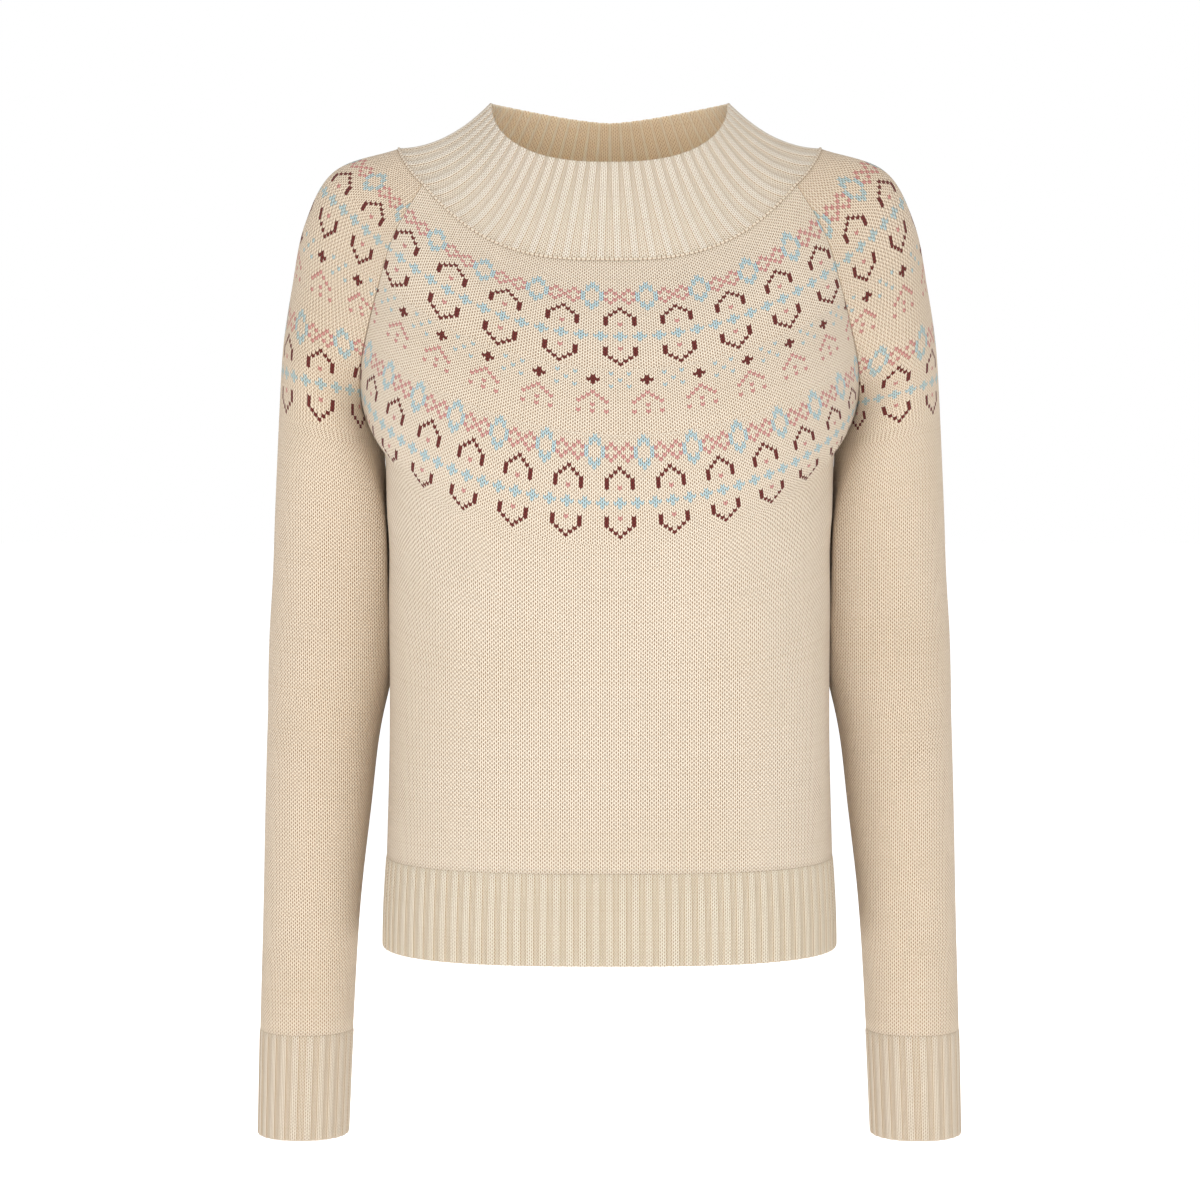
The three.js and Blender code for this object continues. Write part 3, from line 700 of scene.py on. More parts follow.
def stitchNodes(tree, settings):
    # V stitches: two legs to a wale, each slanting down to its middle, with a hole where legs part; the holes
    # and the grooves between legs give the mask shade, which paints shade into the colour and also sinks the
    # relief
    uv = tree.nodes.new("ShaderNodeUVMap")
    uv.uv_map = "stitches"
    split = tree.nodes.new("ShaderNodeSeparateXYZ")
    tree.links.new(uv.outputs[0], split.inputs[0])
    wale, course = split.outputs[0], split.outputs[1]
    legs = number(tree, "FRACT", number(tree, "MULTIPLY", wale, 2.0))
    border = number(tree, "ABSOLUTE", number(tree, "MULTIPLY_ADD", legs, 2.0, -1.0))
    edge = number(tree, "ABSOLUTE", number(tree, "MULTIPLY_ADD", number(tree, "FRACT", wale), 2.0, -1.0))
    slant = number(tree, "MULTIPLY", number(tree, "SUBTRACT", 1.0, edge), settings["legSlant"])
    along = number(tree, "FRACT", number(tree, "SUBTRACT", course, slant))
    ends = number(tree, "ABSOLUTE", number(tree, "MULTIPLY_ADD", along, 2.0, -1.0))
    aside = rampBetween(tree, border, *settings["holeAside"])
    hole = number(tree, "MULTIPLY", aside, rampBetween(tree, ends, *settings["holeAtEnds"]))
    groove = number(tree, "MULTIPLY", number(tree, "POWER", border, 3.0), settings["groove"])
    shade = number(tree, "MULTIPLY_ADD", hole, settings["hole"], groove)
    strand = number(tree, "MULTIPLY", number(tree, "POWER", ends, 3.0), settings["strandDip"])
    height = number(tree, "SUBTRACT", 1.0, number(tree, "ADD", shade, strand))
    return wale, course, shade, height


def bumped(tree, height, distance):
    node = tree.nodes.new("ShaderNodeBump")
    node.inputs["Strength"].default_value = 1.0
    node.inputs["Distance"].default_value = distance
    tree.links.new(height, node.inputs["Height"])
    return node.outputs["Normal"]


def makeWool(name, settings):
    material = bpy.data.materials.new(name)
    material.use_nodes = True
    tree = material.node_tree
    shader = tree.nodes["Principled BSDF"]
    shader.inputs["Roughness"].default_value = 0.9
    shader.inputs["Specular IOR Level"].default_value = 0.2
    shader.inputs["Sheen Weight"].default_value = settings["sheen"]
    shader.inputs["Sheen Roughness"].default_value = 0.45
    # light that comes through the thin knitting
    shader.inputs["Subsurface Weight"].default_value = settings["through"]
    shader.inputs["Subsurface Radius"].default_value = settings["throughReach"]
    shader.inputs["Subsurface Scale"].default_value = 1.0
    yarn = tree.nodes.new("ShaderNodeAttribute")
    yarn.attribute_name = "yarn"
    wale, course, shade, height = stitchNodes(tree, settings["stitch"])
    # painted shade: the yarn darkened in the holes and the grooves between the stitches
    colour = tinted(tree, yarn.outputs["Color"], settings["paintedHoleShade"], shade)
    colour = tinted(tree, colour, settings["mottleTint"], patches(tree, settings["mottle"]))
    colour = tinted(tree, colour, settings["driftTint"], patches(tree, settings["drift"]))
    across = tree.nodes.new("ShaderNodeCombineXYZ")
    tree.links.new(course, across.inputs[1])
    colour = tinted(tree, colour, settings["bandTint"], patches(tree, settings["bands"], across.outputs[0]))
    fuzz = number(tree, "MULTIPLY", noiseValue(tree, settings["fuzz"]), settings["fuzz"]["height"])
    relief = number(tree, "ADD", height, fuzz)
    # ribs: painted shade darkens the recesses between the ridges, and more the flanks that turn aside
    if settings["ribs"]:
        raised = tree.nodes.new("ShaderNodeAttribute")
        raised.attribute_name = "raised"
        low = number(tree, "SUBTRACT", 1.0, raised.outputs["Fac"])
        colour = tinted(tree, colour, settings["paintedRecessShade"], low)
        level = number(tree, "MULTIPLY_ADD", raised.outputs["Fac"], 2.0, -1.0)
        flank = number(tree, "SUBTRACT", 1.0, number(tree, "ABSOLUTE", level))
        colour = tinted(tree, colour, settings["paintedFlankShade"], flank)
    tree.links.new(colour, shader.inputs["Base Color"])
    tree.links.new(bumped(tree, relief, settings["stitch"]["bumpDepth"]), shader.inputs["Normal"])
    return material


knitSettings = {
    "stitch": stitchSettings,
    "sheen": 0.12,
    "through": 0.0,
    "throughReach": (0.004, 0.0037, 0.0033),
    # the colour of the painted shade in the holes and grooves between stitches
    "paintedHoleShade": (0.60, 0.43, 0.32),
    "mottle": {"scale": 900.0, "detail": 3.0, "low": 0.35, "high": 0.75},
    "mottleTint": (0.93, 0.91, 0.88),
    "drift": {"scale": 9.0, "detail": 2.0, "low": 0.4, "high": 0.75},
    "driftTint": (0.97, 0.96, 0.94),
    "bands": {"scale": 0.9, "detail": 3.0, "low": 0.45, "high": 0.7},
    "bandTint": (0.975, 0.965, 0.95),
    "fuzz": {"scale": 1700.0, "detail": 2.0, "height": 0.45},
    "ribs": False,
}
# the ribs' painted shade: a little in the recesses, more on the flanks
ribSettings = dict(knitSettings, ribs=True, paintedRecessShade=(0.97, 0.94, 0.9), paintedFlankShade=(0.9, 0.83, 0.75))
# the wrong side, with lighter painted shade in its holes
insideSettings = dict(knitSettings, paintedHoleShade=(0.7, 0.58, 0.48))
# the inside of the ribbing, with light coming through it and its own painted shade in the recesses
insideRibSettings = dict(ribSettings, through=1.0, paintedRecessShade=(0.96, 0.9, 0.85))

knitWool = makeWool("oatmeal_knit", knitSettings)
ribWool = makeWool("oatmeal_rib", ribSettings)
insideWool = makeWool("oatmeal_wrong_side", insideSettings)
insideRibWool = makeWool("oatmeal_rib_inside", insideRibSettings)
print("wool made")


# the knitted panels

# painted shade along the seams: legs within this many millimetres of a seam are darkened by this tint
seamShadeTint = np.array([0.93, 0.88, 0.83])
seamShadeReach = 0.9


def stitchEdges(count):
    # two points to a stitch, its edge and its middle, with stitch 0 about the middle one
    return np.arange(4 * count + 3) / 2 - count - 0.5


def panelPlaces(settings, zone, course):
    # the places of a course's points: a cubic in the repeats of twelve stitches from the middle one
    repeat = stitchEdges(settings["stitchCount"]) / 12
    start, step, bend, bow = zone["columns"]
    return start + step * repeat + bend * repeat ** 2 + bow * repeat ** 3


def sleevePlaces(settings, zone, course):
    # the same on a sleeve, where stitch 0 lies so many millimetres to the front of the shoulder, and
    # the stitches behind the shoulder have a width of their own
    columns = settings["sleeveColumns"]
    middle = np.interp(course, columns["course"], columns["middle"]) * settings["toFront"]
    width = np.interp(course, columns["course"], columns["width"])
    backWidth = np.interp(course, columns["course"], columns["backWidth"])
    away = middle + stitchEdges(settings["stitchCount"]) * width
    away = np.where(away * settings["toFront"] < 0, away * backWidth / width, away)
    return away / (lengthAt(settings["form"], course) / 2)


def chartColours(chart, row, middle, stitches, paintedLightTone):
    # the colour of each leg of a course, with the chart's line repeated all along it, times the piece's tone
    # of painted light and shade
    line = chart[row]
    tints = np.array([daylight(yarns[letter]) for letter in line])
    return tints[(stitches + middle) % len(line)] * paintedLightTone


def knitRows(settings):
    # the rows of the outside: zones of shaped stitches for the yoke and a plain zone below it; a
    # course's edge lies lower at the middle of each stitch, and all past a seam is drawn in to it
    rows = []
    # the plain yarn times the piece's tone, a lighter or darker copy of one yarn: painted light and shade
    plain = daylight(yarns["."]) * settings["paintedLightTone"]
    stitch = stitchEdges(settings["stitchCount"])
    legs = np.floor(stitch[:-1] + 0.75).astype(int)
    atMiddle = np.arange(len(stitch)) % 2 == 1
    for zone in settings["zones"]:
        for course in range(zone["from"], zone["to"] + 1):
            line = course - zone["from"]
            place = np.clip(settings["places"](settings, zone, course), -1, 1)
            slanted = atMiddle & (np.abs(place) < 1) & (course < settings["zones"][-1]["to"])
            # the legs' slant fades out where the sleeve's courses crowd together under the arm
            crowded = smoothStep(course, *crowdedCourses) * smoothStep(np.abs(place), *crowdedPlaces)
            slant = stitchSettings["legSlant"] * (1 - settings["tube"] * crowded)
            edge = course + np.where(slanted, slant, 0.0)
            colours = plain + np.zeros((len(legs), 1))
            if zone["chart"] and line < len(zone["chart"]):
                colours = chartColours(zone["chart"], line, zone["middle"], legs, settings["paintedLightTone"])
            # painted shade: legs close to a seam are darkened
            fromSeam = (1 - np.abs(place[1:] + place[:-1]) / 2) * lengthAt(settings["form"], course) / 2
            colours = np.where((fromSeam < seamShadeReach)[:, None], colours * seamShadeTint, colours)
            if course == courses["neck"]:
                edge = 0 * edge + course + gaps["neck"] / 2 / courseHeight
            rows.append({
                "course": edge, "place": place, "wale": stitch + 0.5, "colours": colours,
                "columns": zone.get("columns"),
            })
    last = settings["lastCourse"]
    first = settings["zones"][-1]["to"] + 1
    lower = np.arange(courses["underarm"] + 2, last - plainRowStep / 2, plainRowStep)
    plainCourses = np.concatenate([[first, courses["underarm"]], lower, [last + 0.1]])
    place = np.linspace(-1, 1, settings["plainColumns"] + 1)
    for course in plainCourses:
        wale = place * lengthAt(settings["form"], course) / 2 / plainStitchWidth
        rows.append({
            "course": course + 0 * place, "place": place, "wale": wale, "colours": plain, "columns": None,
        })
    return rows


# where the sleeve's courses begin to crowd, and where they are closest
crowdedCourses = (58, 66)
crowdedPlaces = (0.5, 0.75)
# the plain knitting: a stitch's width in millimetres, and the courses from one row of points to the next
plainStitchWidth = 3.1
plainRowStep = 3.0
# what a seam takes off a row, and how the edge along it rolls in
seamTrim = 0.01
edgeRoll = {"depth": 0.08, "width": 0.8}


def isOpen(isTube, course, slack):
    # the front and back are open down both sides, and a sleeve only above the underarm
    return (course <= courses["underarm"] + slack) if isTube else np.ones(np.shape(course), dtype=bool)


def knitPanel(name, form, settings):
    rows = knitRows(settings)
    course = np.concatenate([row["course"] for row in rows])
    place = np.concatenate([row["place"] for row in rows])
    wale = np.concatenate([row["wale"] for row in rows])
    isTube = settings["tube"]
    opened = isOpen(isTube, course, -0.01)
    trimmed = place * (1 - opened * seamTrim / lengthAt(form, course))
    points, outward = pointAt(form, course, trimmed)
    fromEdge = (1 - np.abs(place)) * lengthAt(form, course) / 2
    roll = edgeRoll["depth"] * np.exp(-((fromEdge / edgeRoll["width"]) ** 2)) * opened
    points = points - outward * roll[:, None]
    starts = np.cumsum([0] + [len(row["place"]) for row in rows])
    numbers = [np.arange(starts[i], starts[i + 1]) for i in range(len(rows))]
    groups = []
    for i in range(len(rows) - 1):
        upper, lower = rows[i], rows[i + 1]
        same = upper["columns"] == lower["columns"] and len(upper["place"]) == len(lower["place"])
        if same:
            faces = joinRows(numbers[i], numbers[i + 1])
            colours = upper["colours"]
        else:
            faces = zipRows(numbers[i], upper["place"], numbers[i + 1], lower["place"])
            colours = daylight(yarns["."]) * settings["paintedLightTone"]
        stripWale = wale.copy()
        if not same:
            # the lower row of a joining strip takes its wales from the row above it
            stripWale[numbers[i + 1]] = np.interp(lower["place"], upper["place"], upper["wale"])
        stitches = np.stack([stripWale[faces], course[faces]], axis=-1)
        groups.append({"faces": faces, "stitches": stitches, "colours": colours, "slot": 0})
    # the wrong side, a plain wall's thickness in, and the edges that join the two
    innerCourses = np.unique(np.concatenate([
        np.linspace(rows[0]["course"][0], courses["underarm"], settings["innerYokeRows"]),
        np.linspace(courses["underarm"], rows[-1]["course"][0], settings["innerRows"]),
    ]))
    innerPlace = np.linspace(-1, 1, settings["innerColumns"] + 1)
    c, p = np.meshgrid(innerCourses, innerPlace, indexing="ij")
    innerOpened = isOpen(isTube, c, -0.01)
    innerPoints, innerOut = pointAt(form, c, p * (1 - innerOpened * seamTrim / lengthAt(form, c)))
    innerPoints = innerPoints - innerOut * wallThickness
    base = len(points)
    inner = base + np.arange(c.size).reshape(c.shape)
    # the plain yarn times the piece's tone of painted light and shade
    plain = daylight(yarns["."]) * settings["paintedLightTone"]

    def addFaces(faces, slot, isEdge=True):
        allCourse = np.concatenate([course, c.ravel()])
        allPlace = np.concatenate([place, p.ravel()])
        allWale = allPlace * lengthAt(form, allCourse) / 2 / plainStitchWidth
        stitches = np.stack([allWale[faces], allCourse[faces]], axis=-1)
        group = {"faces": faces, "stitches": stitches, "colours": plain, "slot": slot, "isEdge": isEdge}
        groups.append(group)

    for i in range(len(innerCourses) - 1):
        addFaces(joinRows(inner[i], inner[i + 1])[:, ::-1], 1, False)
    addFaces(zipRows(inner[0], innerPlace, numbers[0], rows[0]["place"]), 0)
    addFaces(zipRows(numbers[-1], rows[-1]["place"], inner[-1], innerPlace), 0)
    rowCourses = np.array([row["course"][0] for row in rows])
    sideRows = isOpen(isTube, rowCourses, 0.01)
    sideInner = isOpen(isTube, innerCourses, 0.01)
    firsts = starts[:-1][sideRows]
    lasts = (starts[1:] - 1)[sideRows]
    addFaces(zipRows(firsts, rowCourses[sideRows], inner[sideInner, 0], innerCourses[sideInner]), 0)
    addFaces(zipRows(inner[sideInner, -1], innerCourses[sideInner], lasts, rowCourses[sideRows]), 0)
    allPoints = np.concatenate([points, innerPoints.reshape(-1, 3)])
    return makeMesh(name, allPoints, groups, [knitWool, insideWool])


# the yoke's zones from the neck down, with the column of the chart that stitch 0 takes, and how the
# repeats of the front and back are placed: the first one's place, the step, and its bend and bow
yokeZones = {
    "top": {"from": -7, "to": -1, "chart": None, "middle": 0},
    "band": {"from": 0, "to": 27, "chart": bandChart, "middle": bandMiddle},
    "star": {"from": 28, "to": 47, "chart": starChart, "middle": starMiddle},
    "low": {"from": 48, "to": 76, "chart": bandChart, "middle": bandMiddle},
}
frontColumns = {
    "top": (0.041, 0.226, -0.0025, 0.0003), "band": (0.041, 0.226, -0.0025, 0.0003),
    "star": (-0.060, 0.196, -0.0008, -0.0004), "low": (0.032, 0.162, -0.0005, -0.0003),
}
backColumns = {
    "top": (0, 0.24, 0, 0), "band": (0, 0.24, 0, 0), "star": (0.1, 0.2, 0, 0), "low": (0, 0.166, 0, 0),
}
# on the sleeves: how far stitch 0 lies to the front of the shoulder, and the stitches' width before
# the shoulder and behind it
sleeveColumns = {
    "course": [-7, 13, 31, 58, 79],
    "middle": [10, 21, 42, 68.5, 72],
    "width": [3.1, 3.1, 2.65, 2.8, 2.95],
    "backWidth": [2.8, 2.9, 3.2, 3.2, 3.0],
}


def bodyZones(columns):
    return [dict(zone, columns=columns[name]) for name, zone in yokeZones.items()]


# each piece's tone makes a lighter or darker copy of the one yarn: painted light and shade
bodyPanel = {
    "lastCourse": courses["hemRib"], "plainColumns": 150,
    "innerColumns": 44, "innerRows": 14, "innerYokeRows": 22,
    "tube": False, "paintedLightTone": np.array([1.0, 1.0, 1.0]), "places": panelPlaces, "stitchCount": 82,
}
sleevePanel = {
    "lastCourse": courses["cuffRib"], "plainColumns": 96,
    "innerColumns": 40, "innerRows": 22, "innerYokeRows": 22,
    # the sleeves a darker, warmer copy of the yarn: painted shade
    "tube": True, "paintedLightTone": np.array([0.975, 0.94, 0.9]), "places": sleevePlaces, "stitchCount": 78,
    "sleeveColumns": sleeveColumns, "zones": list(yokeZones.values()),
}


frontForm = panelForm(False, frontFolds)
backForm = panelForm(True, backFolds)
leftForm = sleeveForm(1)
rightForm = sleeveForm(-1)
front = knitPanel("front_knit", frontForm, dict(bodyPanel, form=frontForm, zones=bodyZones(frontColumns)))
back = knitPanel("back_knit", backForm, dict(bodyPanel, form=backForm, zones=bodyZones(backColumns)))
sleeveLeft = knitPanel("sleeve_left_knit", leftForm, dict(sleevePanel, form=leftForm, toFront=-1))
sleeveRight = knitPanel("sleeve_right_knit", rightForm, dict(sleevePanel, form=rightForm, toFront=1))
print("panels made")


# ribbing

ridgeMiddle = 0.48
flankReach = 0.1
# how deep the ribs are on the wrong side, as a share of the outside's
innerDepth = 0.6
# how far the knitting runs on, in millimetres, from one row of points to the next where it turns
turnStep = 0.3


def ribWave(ribPlace, ridgeShare):
    # 1 on a ridge and -1 in a groove, with smooth flanks, once for each rib
    aside = np.abs((ribPlace - ridgeMiddle + 0.5) % 1 - 0.5)
    return 1 - 2 * smoothStep(aside, ridgeShare / 2 - flankReach, ridgeShare / 2 + flankReach)


def ribWales(ribPlace, ridgeShare):
    # stitch coordinate along the ribs: two wales over each ridge and two over each groove
    whole, part = np.divmod(ribPlace - ridgeMiddle + ridgeShare / 2, 1)
    onRidge = 2 * part / ridgeShare
    inGroove = 2 + 2 * (part - ridgeShare) / (1 - ridgeShare)
    return 4 * whole + np.where(part < ridgeShare, onRidge, inGroove)


def ribPath(settings):
    # down the outside, round the lower edge, up the inside and round the upper edge
    inset = settings["edge"] / settings["height"]
    outside = np.linspace(inset, 1 - inset, settings["rows"])
    inside = np.linspace(1 - inset, inset, settings["innerRows"])
    turn = np.linspace(0, np.pi, 6)[1:-1]
    down = np.concatenate([outside, 1 - inset + 0 * turn, inside, inset + 0 * turn])
    outer = np.concatenate([1 + 0 * outside, (1 + np.cos(turn)) / 2, 0 * inside, (1 - np.cos(turn)) / 2])
    lift = np.concatenate([0 * outside, -np.sin(turn), 0 * inside, np.sin(turn)]) * settings["edge"]
    return down, outer, lift


def ribbedPiece(name, grid, margin, settings):
    # a wave of ribs carried round the grid; the grid's columns run past both ends of a closed ring
    facing = facingOf(grid)
    up = -unit(np.gradient(grid, axis=0))
    down, outer, lift = ribPath(settings)
    ribs = settings["ribs"]
    share = np.linspace(0, 1, ribs * settings["columnsPerRib"] + 1)
    isRing = margin > 0
    share = share[:-1] if isRing else share
    d, s = np.meshgrid(down, share, indexing="ij")
    rowPlace = d * (len(grid) - 1)
    columnPlace = s * (grid.shape[1] - 1 - 2 * margin) + margin
    outward = unit(readGrid(facing, rowPlace, columnPlace))
    ridgeShare = mix(settings["ridgeShare"][0], settings["ridgeShare"][1], d)
    depth = mix(settings["depth"][0], settings["depth"][1], d)
    if settings["fade"]:
        depth = depth * smoothStep(d * settings["height"], -0.5, settings["fade"])
    wave = ribWave(s * ribs, ridgeShare)
    outerOffset = depth * wave
    innerOffset = -settings["thickness"] + innerDepth * depth * wave
    offset = mix(innerOffset, outerOffset, outer[:, None])
    points = readGrid(grid, rowPlace, columnPlace) + outward * offset[..., None]
    points = points + readGrid(up, rowPlace, columnPlace) * lift[:, None, None]
    rowCount, columnCount = d.shape
    index = np.arange(rowCount * columnCount).reshape(rowCount, columnCount)
    loop = np.concatenate([index, index[:1]])
    loop = np.concatenate([loop, loop[:, :1]], axis=1) if isRing else loop
    quads = np.stack([loop[:-1, :-1], loop[1:, :-1], loop[1:, 1:], loop[:-1, 1:]], axis=-1).reshape(-1, 4)
    loopRidges = np.append(ridgeShare[:, 0], ridgeShare[0, 0])[:, None]
    wales = ribWales(np.linspace(0, 1, loop.shape[1])[None, :] * ribs, loopRidges)
    travelled = np.concatenate([[0], np.cumsum(np.abs(np.diff(down)) * settings["height"] + turnStep)])
    coursePlace = np.append(travelled, travelled[-1] + turnStep) / courseHeight
    coursePlace = coursePlace[:, None] + 0 * wales
    both = np.stack([wales, coursePlace], axis=-1)
    corners = np.stack([both[:-1, :-1], both[1:, :-1], both[1:, 1:], both[:-1, 1:]], axis=2).reshape(-1, 4, 2)
    isInner = np.repeat(outer < 0.5, loop.shape[1] - 1)[:, None]
    # the yarn lightened or darkened for each piece, and for the inside of the collar lightened further:
    # painted light and shade
    colours = daylight(yarns["."]) * np.where(isInner, settings["paintedInsideLight"], settings["paintedLightTone"])
    groups = [{"faces": quads, "stitches": corners, "colours": colours, "slot": isInner[:, 0].astype(int)}]
    piece = makeMesh(name, points.reshape(-1, 3), groups, [ribWool, insideRibWool])
    if not isRing:
        closeEnds(piece, index)
    # 1 where the ribbing stands out and 0 where it is recessed: the mask of the ribs' painted shade
    raised = mix((1 - wave) / 2, (1 + wave) / 2, outer[:, None])
    attribute = piece.data.attributes.new("raised", "FLOAT", "POINT")
    attribute.data.foreach_set("value", raised.ravel().astype(np.float32))
    return piece


def closeEnds(piece, index):
    # one flat face at each end of an open run of ribbing
    edit = bmesh.new()
    edit.from_mesh(piece.data)
    edit.verts.ensure_lookup_table()
    for ring in (index[::-1, 0], index[:, -1]):
        edit.faces.new([edit.verts[int(i)] for i in ring])
    edit.to_mesh(piece.data)
    edit.free()


# the collar

collarSettings = {
    "ribs": 66, "columnsPerRib": 12, "rows": 38, "innerRows": 22, "height": 70, "edge": 1.0,
    "thickness": 1.7, "ridgeShare": (0.70, 0.47), "depth": (0.42, 0.5), "fade": 0,
    # the collar a lighter, cooler copy of the yarn, and its inside lighter still where it lies in shade:
    # painted light
    "paintedLightTone": np.array([1.06, 1.12, 1.19]), "paintedInsideLight": np.array([1.2, 1.22, 1.24]),
}


def closedReading(ring, count, margin):
    # a closed ring of points read at even shares of its length, with a few more past both ends
    steps = np.linalg.norm(np.diff(ring, axis=0), axis=1)
    lengths = np.concatenate([[0], np.cumsum(steps)])
    wanted = (np.arange(-margin, count + margin + 1) / count) % 1 * lengths[-1]
    return np.stack([np.interp(wanted, lengths, ring[:, axis]) for axis in range(3)], axis=1)


def neckSeamRing():
    # the yoke's top ring, from the centre back by the wearer's right, the front and the left
    top = np.zeros((1, 1))
    frontHalf = yokeHalf(top, False, curvePoints)[0]
    backHalf = yokeHalf(top, True, curvePoints)[0]
    frontShoulder = shoulderHalf(top, False, curvePoints)[0]
    backShoulder = shoulderHalf(top, True, curvePoints)[0]
    left = np.concatenate([frontHalf, frontShoulder[1:], backShoulder[-2::-1], backHalf[-2::-1]])
    right = (left * [-1, 1, 1])[::-1]
    return np.concatenate([right, left[1:]])


def neckRimRing():
    # the rim: a rounded oval that dips evenly to the front, and to the back only behind the neck
    angle = np.linspace(-np.pi, np.pi, 1601)
    points = ovalPoint(neckRim, np.abs(angle))
    points[:, 0] *= np.sign(angle)
    out = np.minimum(np.abs(points[:, 0]) / neckRim["halfWidth"], 1)
    forward = (points[:, 1] - neckRim["middleY"]) / (neckRim["frontY"] - neckRim["middleY"])
    isFront = points[:, 1] < neckRim["middleY"]
    dip = np.where(isFront, np.abs(forward) ** 1.2, (1 - out ** 1.5) ** 1.25)
    points[:, 2] = mix(neckRim["sideZ"], np.where(isFront, neckRim["frontZ"], neckRim["backZ"]), dip)
    return points


def collarGrid(margin):
    # from rim to neck seam: over the shoulders it drops first and then spreads
    count = 330
    top = closedReading(neckRimRing(), count, margin)[None]
    low = closedReading(neckSeamRing(), count, margin)[None]
    down = np.linspace(0, 1, 26)[:, None]
    sideness = (top[..., 0] / neckRim["halfWidth"]) ** 2
    drop = down + down * (1 - down) * sideness
    grid = mix(top, low, down[..., None])
    grid[..., 2] = mix(top[..., 2], low[..., 2], drop)
    return grid


collar = ribbedPiece("collar_rib", collarGrid(4), 4, collarSettings)
print("collar made")


# the chain of stitches along the neck seam

chainSettings = {
    "stitches": 246, "pointsPerStitch": 6, "sides": 8, "radius": 0.9, "swell": 0.18, "out": 0.15,
}


def chainTube(name, settings):
    # a tube round the neck seam whose radius swells once for each stitch
    count = settings["stitches"] * settings["pointsPerStitch"]
    middle = closedReading(neckSeamRing(), count, 0)[:-1]
    along = unit(np.roll(middle, -1, axis=0) - np.roll(middle, 1, axis=0))
    rim = closedReading(neckRimRing(), count, 0)[:-1]
    outward = unit(np.cross(unit(middle - rim), along))
    upward = np.cross(along, outward)
    turn = np.linspace(0, 2 * np.pi, settings["sides"], endpoint=False)[:, None]
    stitch = np.arange(count) / settings["pointsPerStitch"]
    radius = settings["radius"] + settings["swell"] * np.abs(np.sin(np.pi * stitch)) - settings["swell"] / 2
    circle = outward[None] * np.cos(turn)[..., None] + upward[None] * np.sin(turn)[..., None]
    points = middle[None] + outward[None] * settings["out"] + circle * radius[None, :, None]
    index = np.arange(points.shape[0] * count).reshape(points.shape[0], count)
    loop = np.concatenate([index, index[:1]])
    loop = np.concatenate([loop, loop[:, :1]], axis=1)
    quads = np.stack([loop[:-1, :-1], loop[:-1, 1:], loop[1:, 1:], loop[1:, :-1]], axis=-1).reshape(-1, 4)
    turns = np.arange(settings["sides"] + 1) / settings["sides"]
    u, v = np.meshgrid(np.arange(count + 1) / settings["pointsPerStitch"], turns)
    both = np.stack([u, v], axis=-1)
    corners = np.stack([both[:-1, :-1], both[:-1, 1:], both[1:, 1:], both[1:, :-1]], axis=2).reshape(-1, 4, 2)
    groups = [{"faces": quads, "stitches": corners, "colours": daylight(yarns["."]), "slot": 0}]
    return makeMesh(name, points.reshape(-1, 3), groups, [knitWool])


neckChain = chainTube("neck_chain", chainSettings)
print("neck chain made")


# hem and cuff ribbing

hemSettings = {
    "halfWidth": 163, "depthY": 109,
    "ribs": 49, "columnsPerRib": 10, "rows": 28, "innerRows": 12, "height": 65, "edge": 0.6,
    "thickness": 1.7, "ridgeShare": (0.6, 0.62), "depth": (0.5, 0.55), "fade": 3.5,
    # the hem a lighter copy of the yarn: painted light
    "paintedLightTone": np.array([1.01, 1.05, 1.06]), "paintedInsideLight": np.array([1.0, 1.0, 1.0]),
}


def hemGrid(isBack, settings):
    # half a ring, from seam to seam, that swells out a little to its lower edge
    top = {key: values[-1] for key, values in bodyLevels.items()}
    low = dict(top, halfWidth=settings["halfWidth"], frontY=-settings["depthY"], backY=settings["depthY"])
    start = np.pi / 2 if isBack else -np.pi / 2
    angle = start + np.pi * np.linspace(0, 1, 1201)
    rings = []
    for section in (top, low):
        points = ovalPoint(section, np.abs(angle))
        points[:, 0] = np.abs(points[:, 0]) * np.sign(np.sin(angle))
        rings.append(evenSpacing(points[None], 240)[0])
    trim = gaps["seam"] / 2 / np.linalg.norm(rings[0][1] - rings[0][0])
    down = np.linspace(0, 1, 14)[:, None, None]
    grid = mix(rings[0], rings[1], np.sin(np.pi / 2 * down))
    grid[..., 2] = mix(levels["hemRibTop"], levels["hem"], down[..., 0])
    grid[:, 0] = mix(grid[:, 0], grid[:, 1], trim)
    grid[:, -1] = mix(grid[:, -1], grid[:, -2], trim)
    return grid


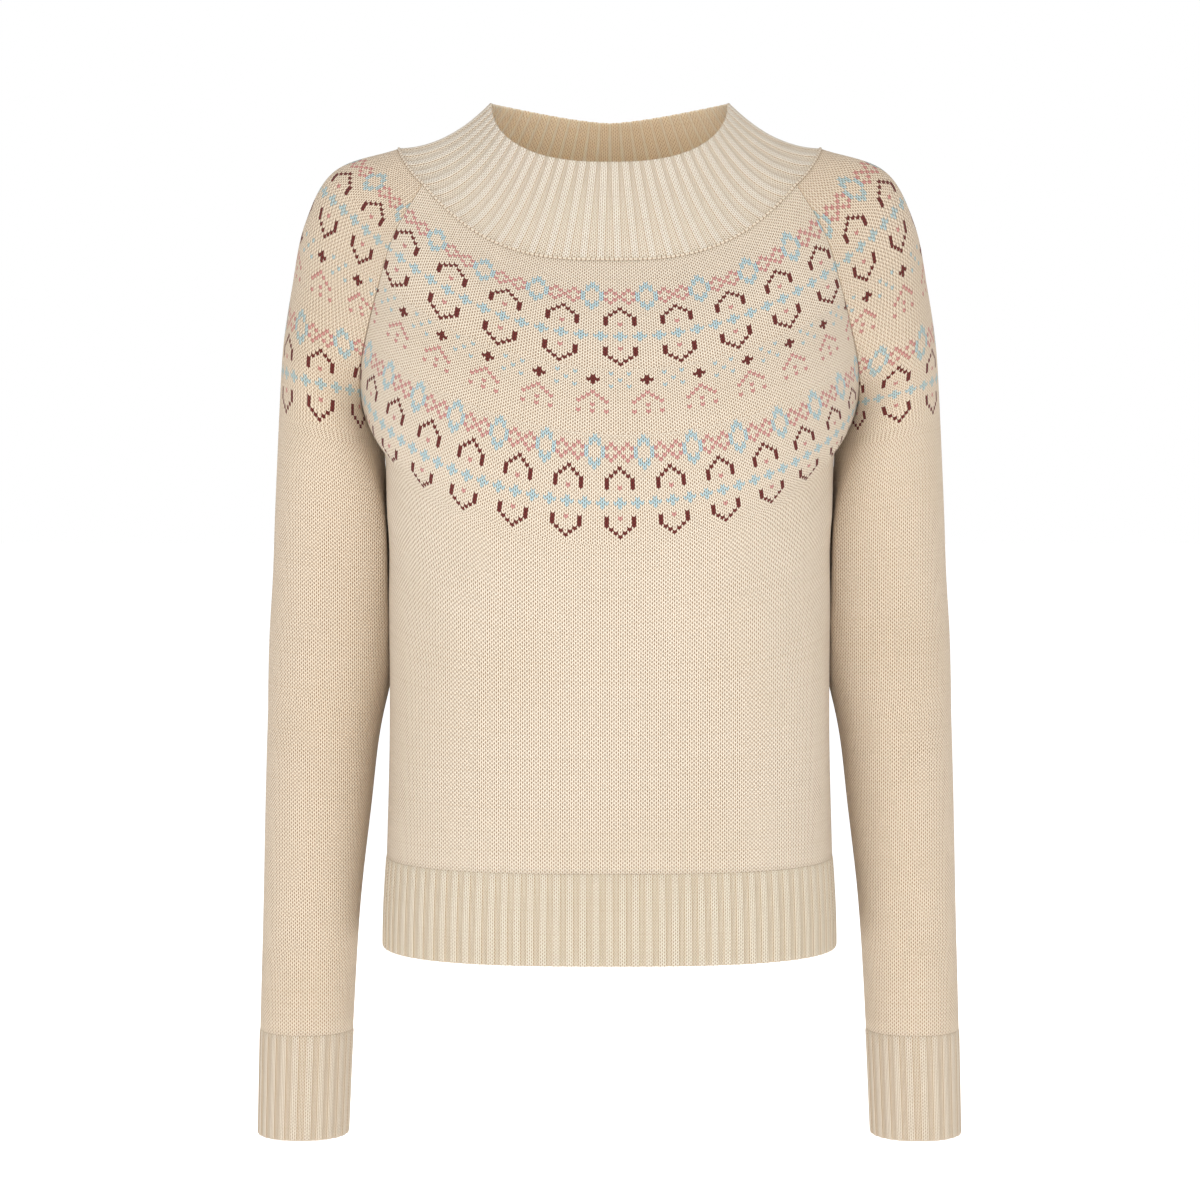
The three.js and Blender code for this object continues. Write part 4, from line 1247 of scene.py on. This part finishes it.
hemFront = ribbedPiece("hem_front_rib", hemGrid(False, hemSettings), 0, hemSettings)
hemBack = ribbedPiece("hem_back_rib", hemGrid(True, hemSettings), 0, hemSettings)
print("hem made")

cuffSettings = {
    "ribs": 24, "columnsPerRib": 10, "rows": 30, "innerRows": 12, "height": 76, "edge": 0.6,
    "thickness": 1.7, "ridgeShare": (0.6, 0.62), "depth": (0.5, 0.55), "fade": 3.5,
    # the cuffs a slightly darker copy of the yarn: painted shade
    "paintedLightTone": np.array([0.98, 0.99, 0.99]), "paintedInsideLight": np.array([1.0, 1.0, 1.0]),
}


def cuffGrid(side, margin):
    # sections of the sleeve carried on down, without a tilt
    count = 192
    share = np.arange(-margin, count + margin + 1)[None, :] / count
    down = np.linspace(0, 1, 16)[:, None]
    level = mix(levels["cuffRibTop"], levels["cuff"], down)
    grid = sleeveRing(level, 0 * level, share if side > 0 else 1 - share)
    return grid * [side, 1, 1]


cuffLeft = ribbedPiece("cuff_left_rib", cuffGrid(1, 4), 4, cuffSettings)
cuffRight = ribbedPiece("cuff_right_rib", cuffGrid(-1, 4), 4, cuffSettings)
print("cuffs made")


# handing the pieces over

pieces = {
    "front": (front, "knit", (0.47, 0.45), 0.190, ["collar"]),
    "back": (back, "knit", (0.45, 0.48), 0.197, ["collar"]),
    "sleeve_left": (sleeveLeft, "knit", (0.31, 0.64), 0.156, ["collar"]),
    "sleeve_right": (sleeveRight, "knit", (0.31, 0.64), 0.156, ["collar"]),
    "collar": (collar, "rib", (0.68, 0.075), 0.045, ["front", "back"]),
    "hem_front": (hemFront, "rib", (0.44, 0.065), 0.0285, ["front"]),
    "hem_back": (hemBack, "rib", (0.44, 0.065), 0.0285, ["back"]),
    "cuff_left": (cuffLeft, "rib", (0.22, 0.076), 0.0165, ["sleeve_left"]),
    "cuff_right": (cuffRight, "rib", (0.22, 0.076), 0.0165, ["sleeve_right"]),
}
for node, (piece, slot, flat, area, hangsFrom) in pieces.items():
    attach(piece, "root")
    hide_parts(node)
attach(neckChain, "root")

print("pieces handed over")
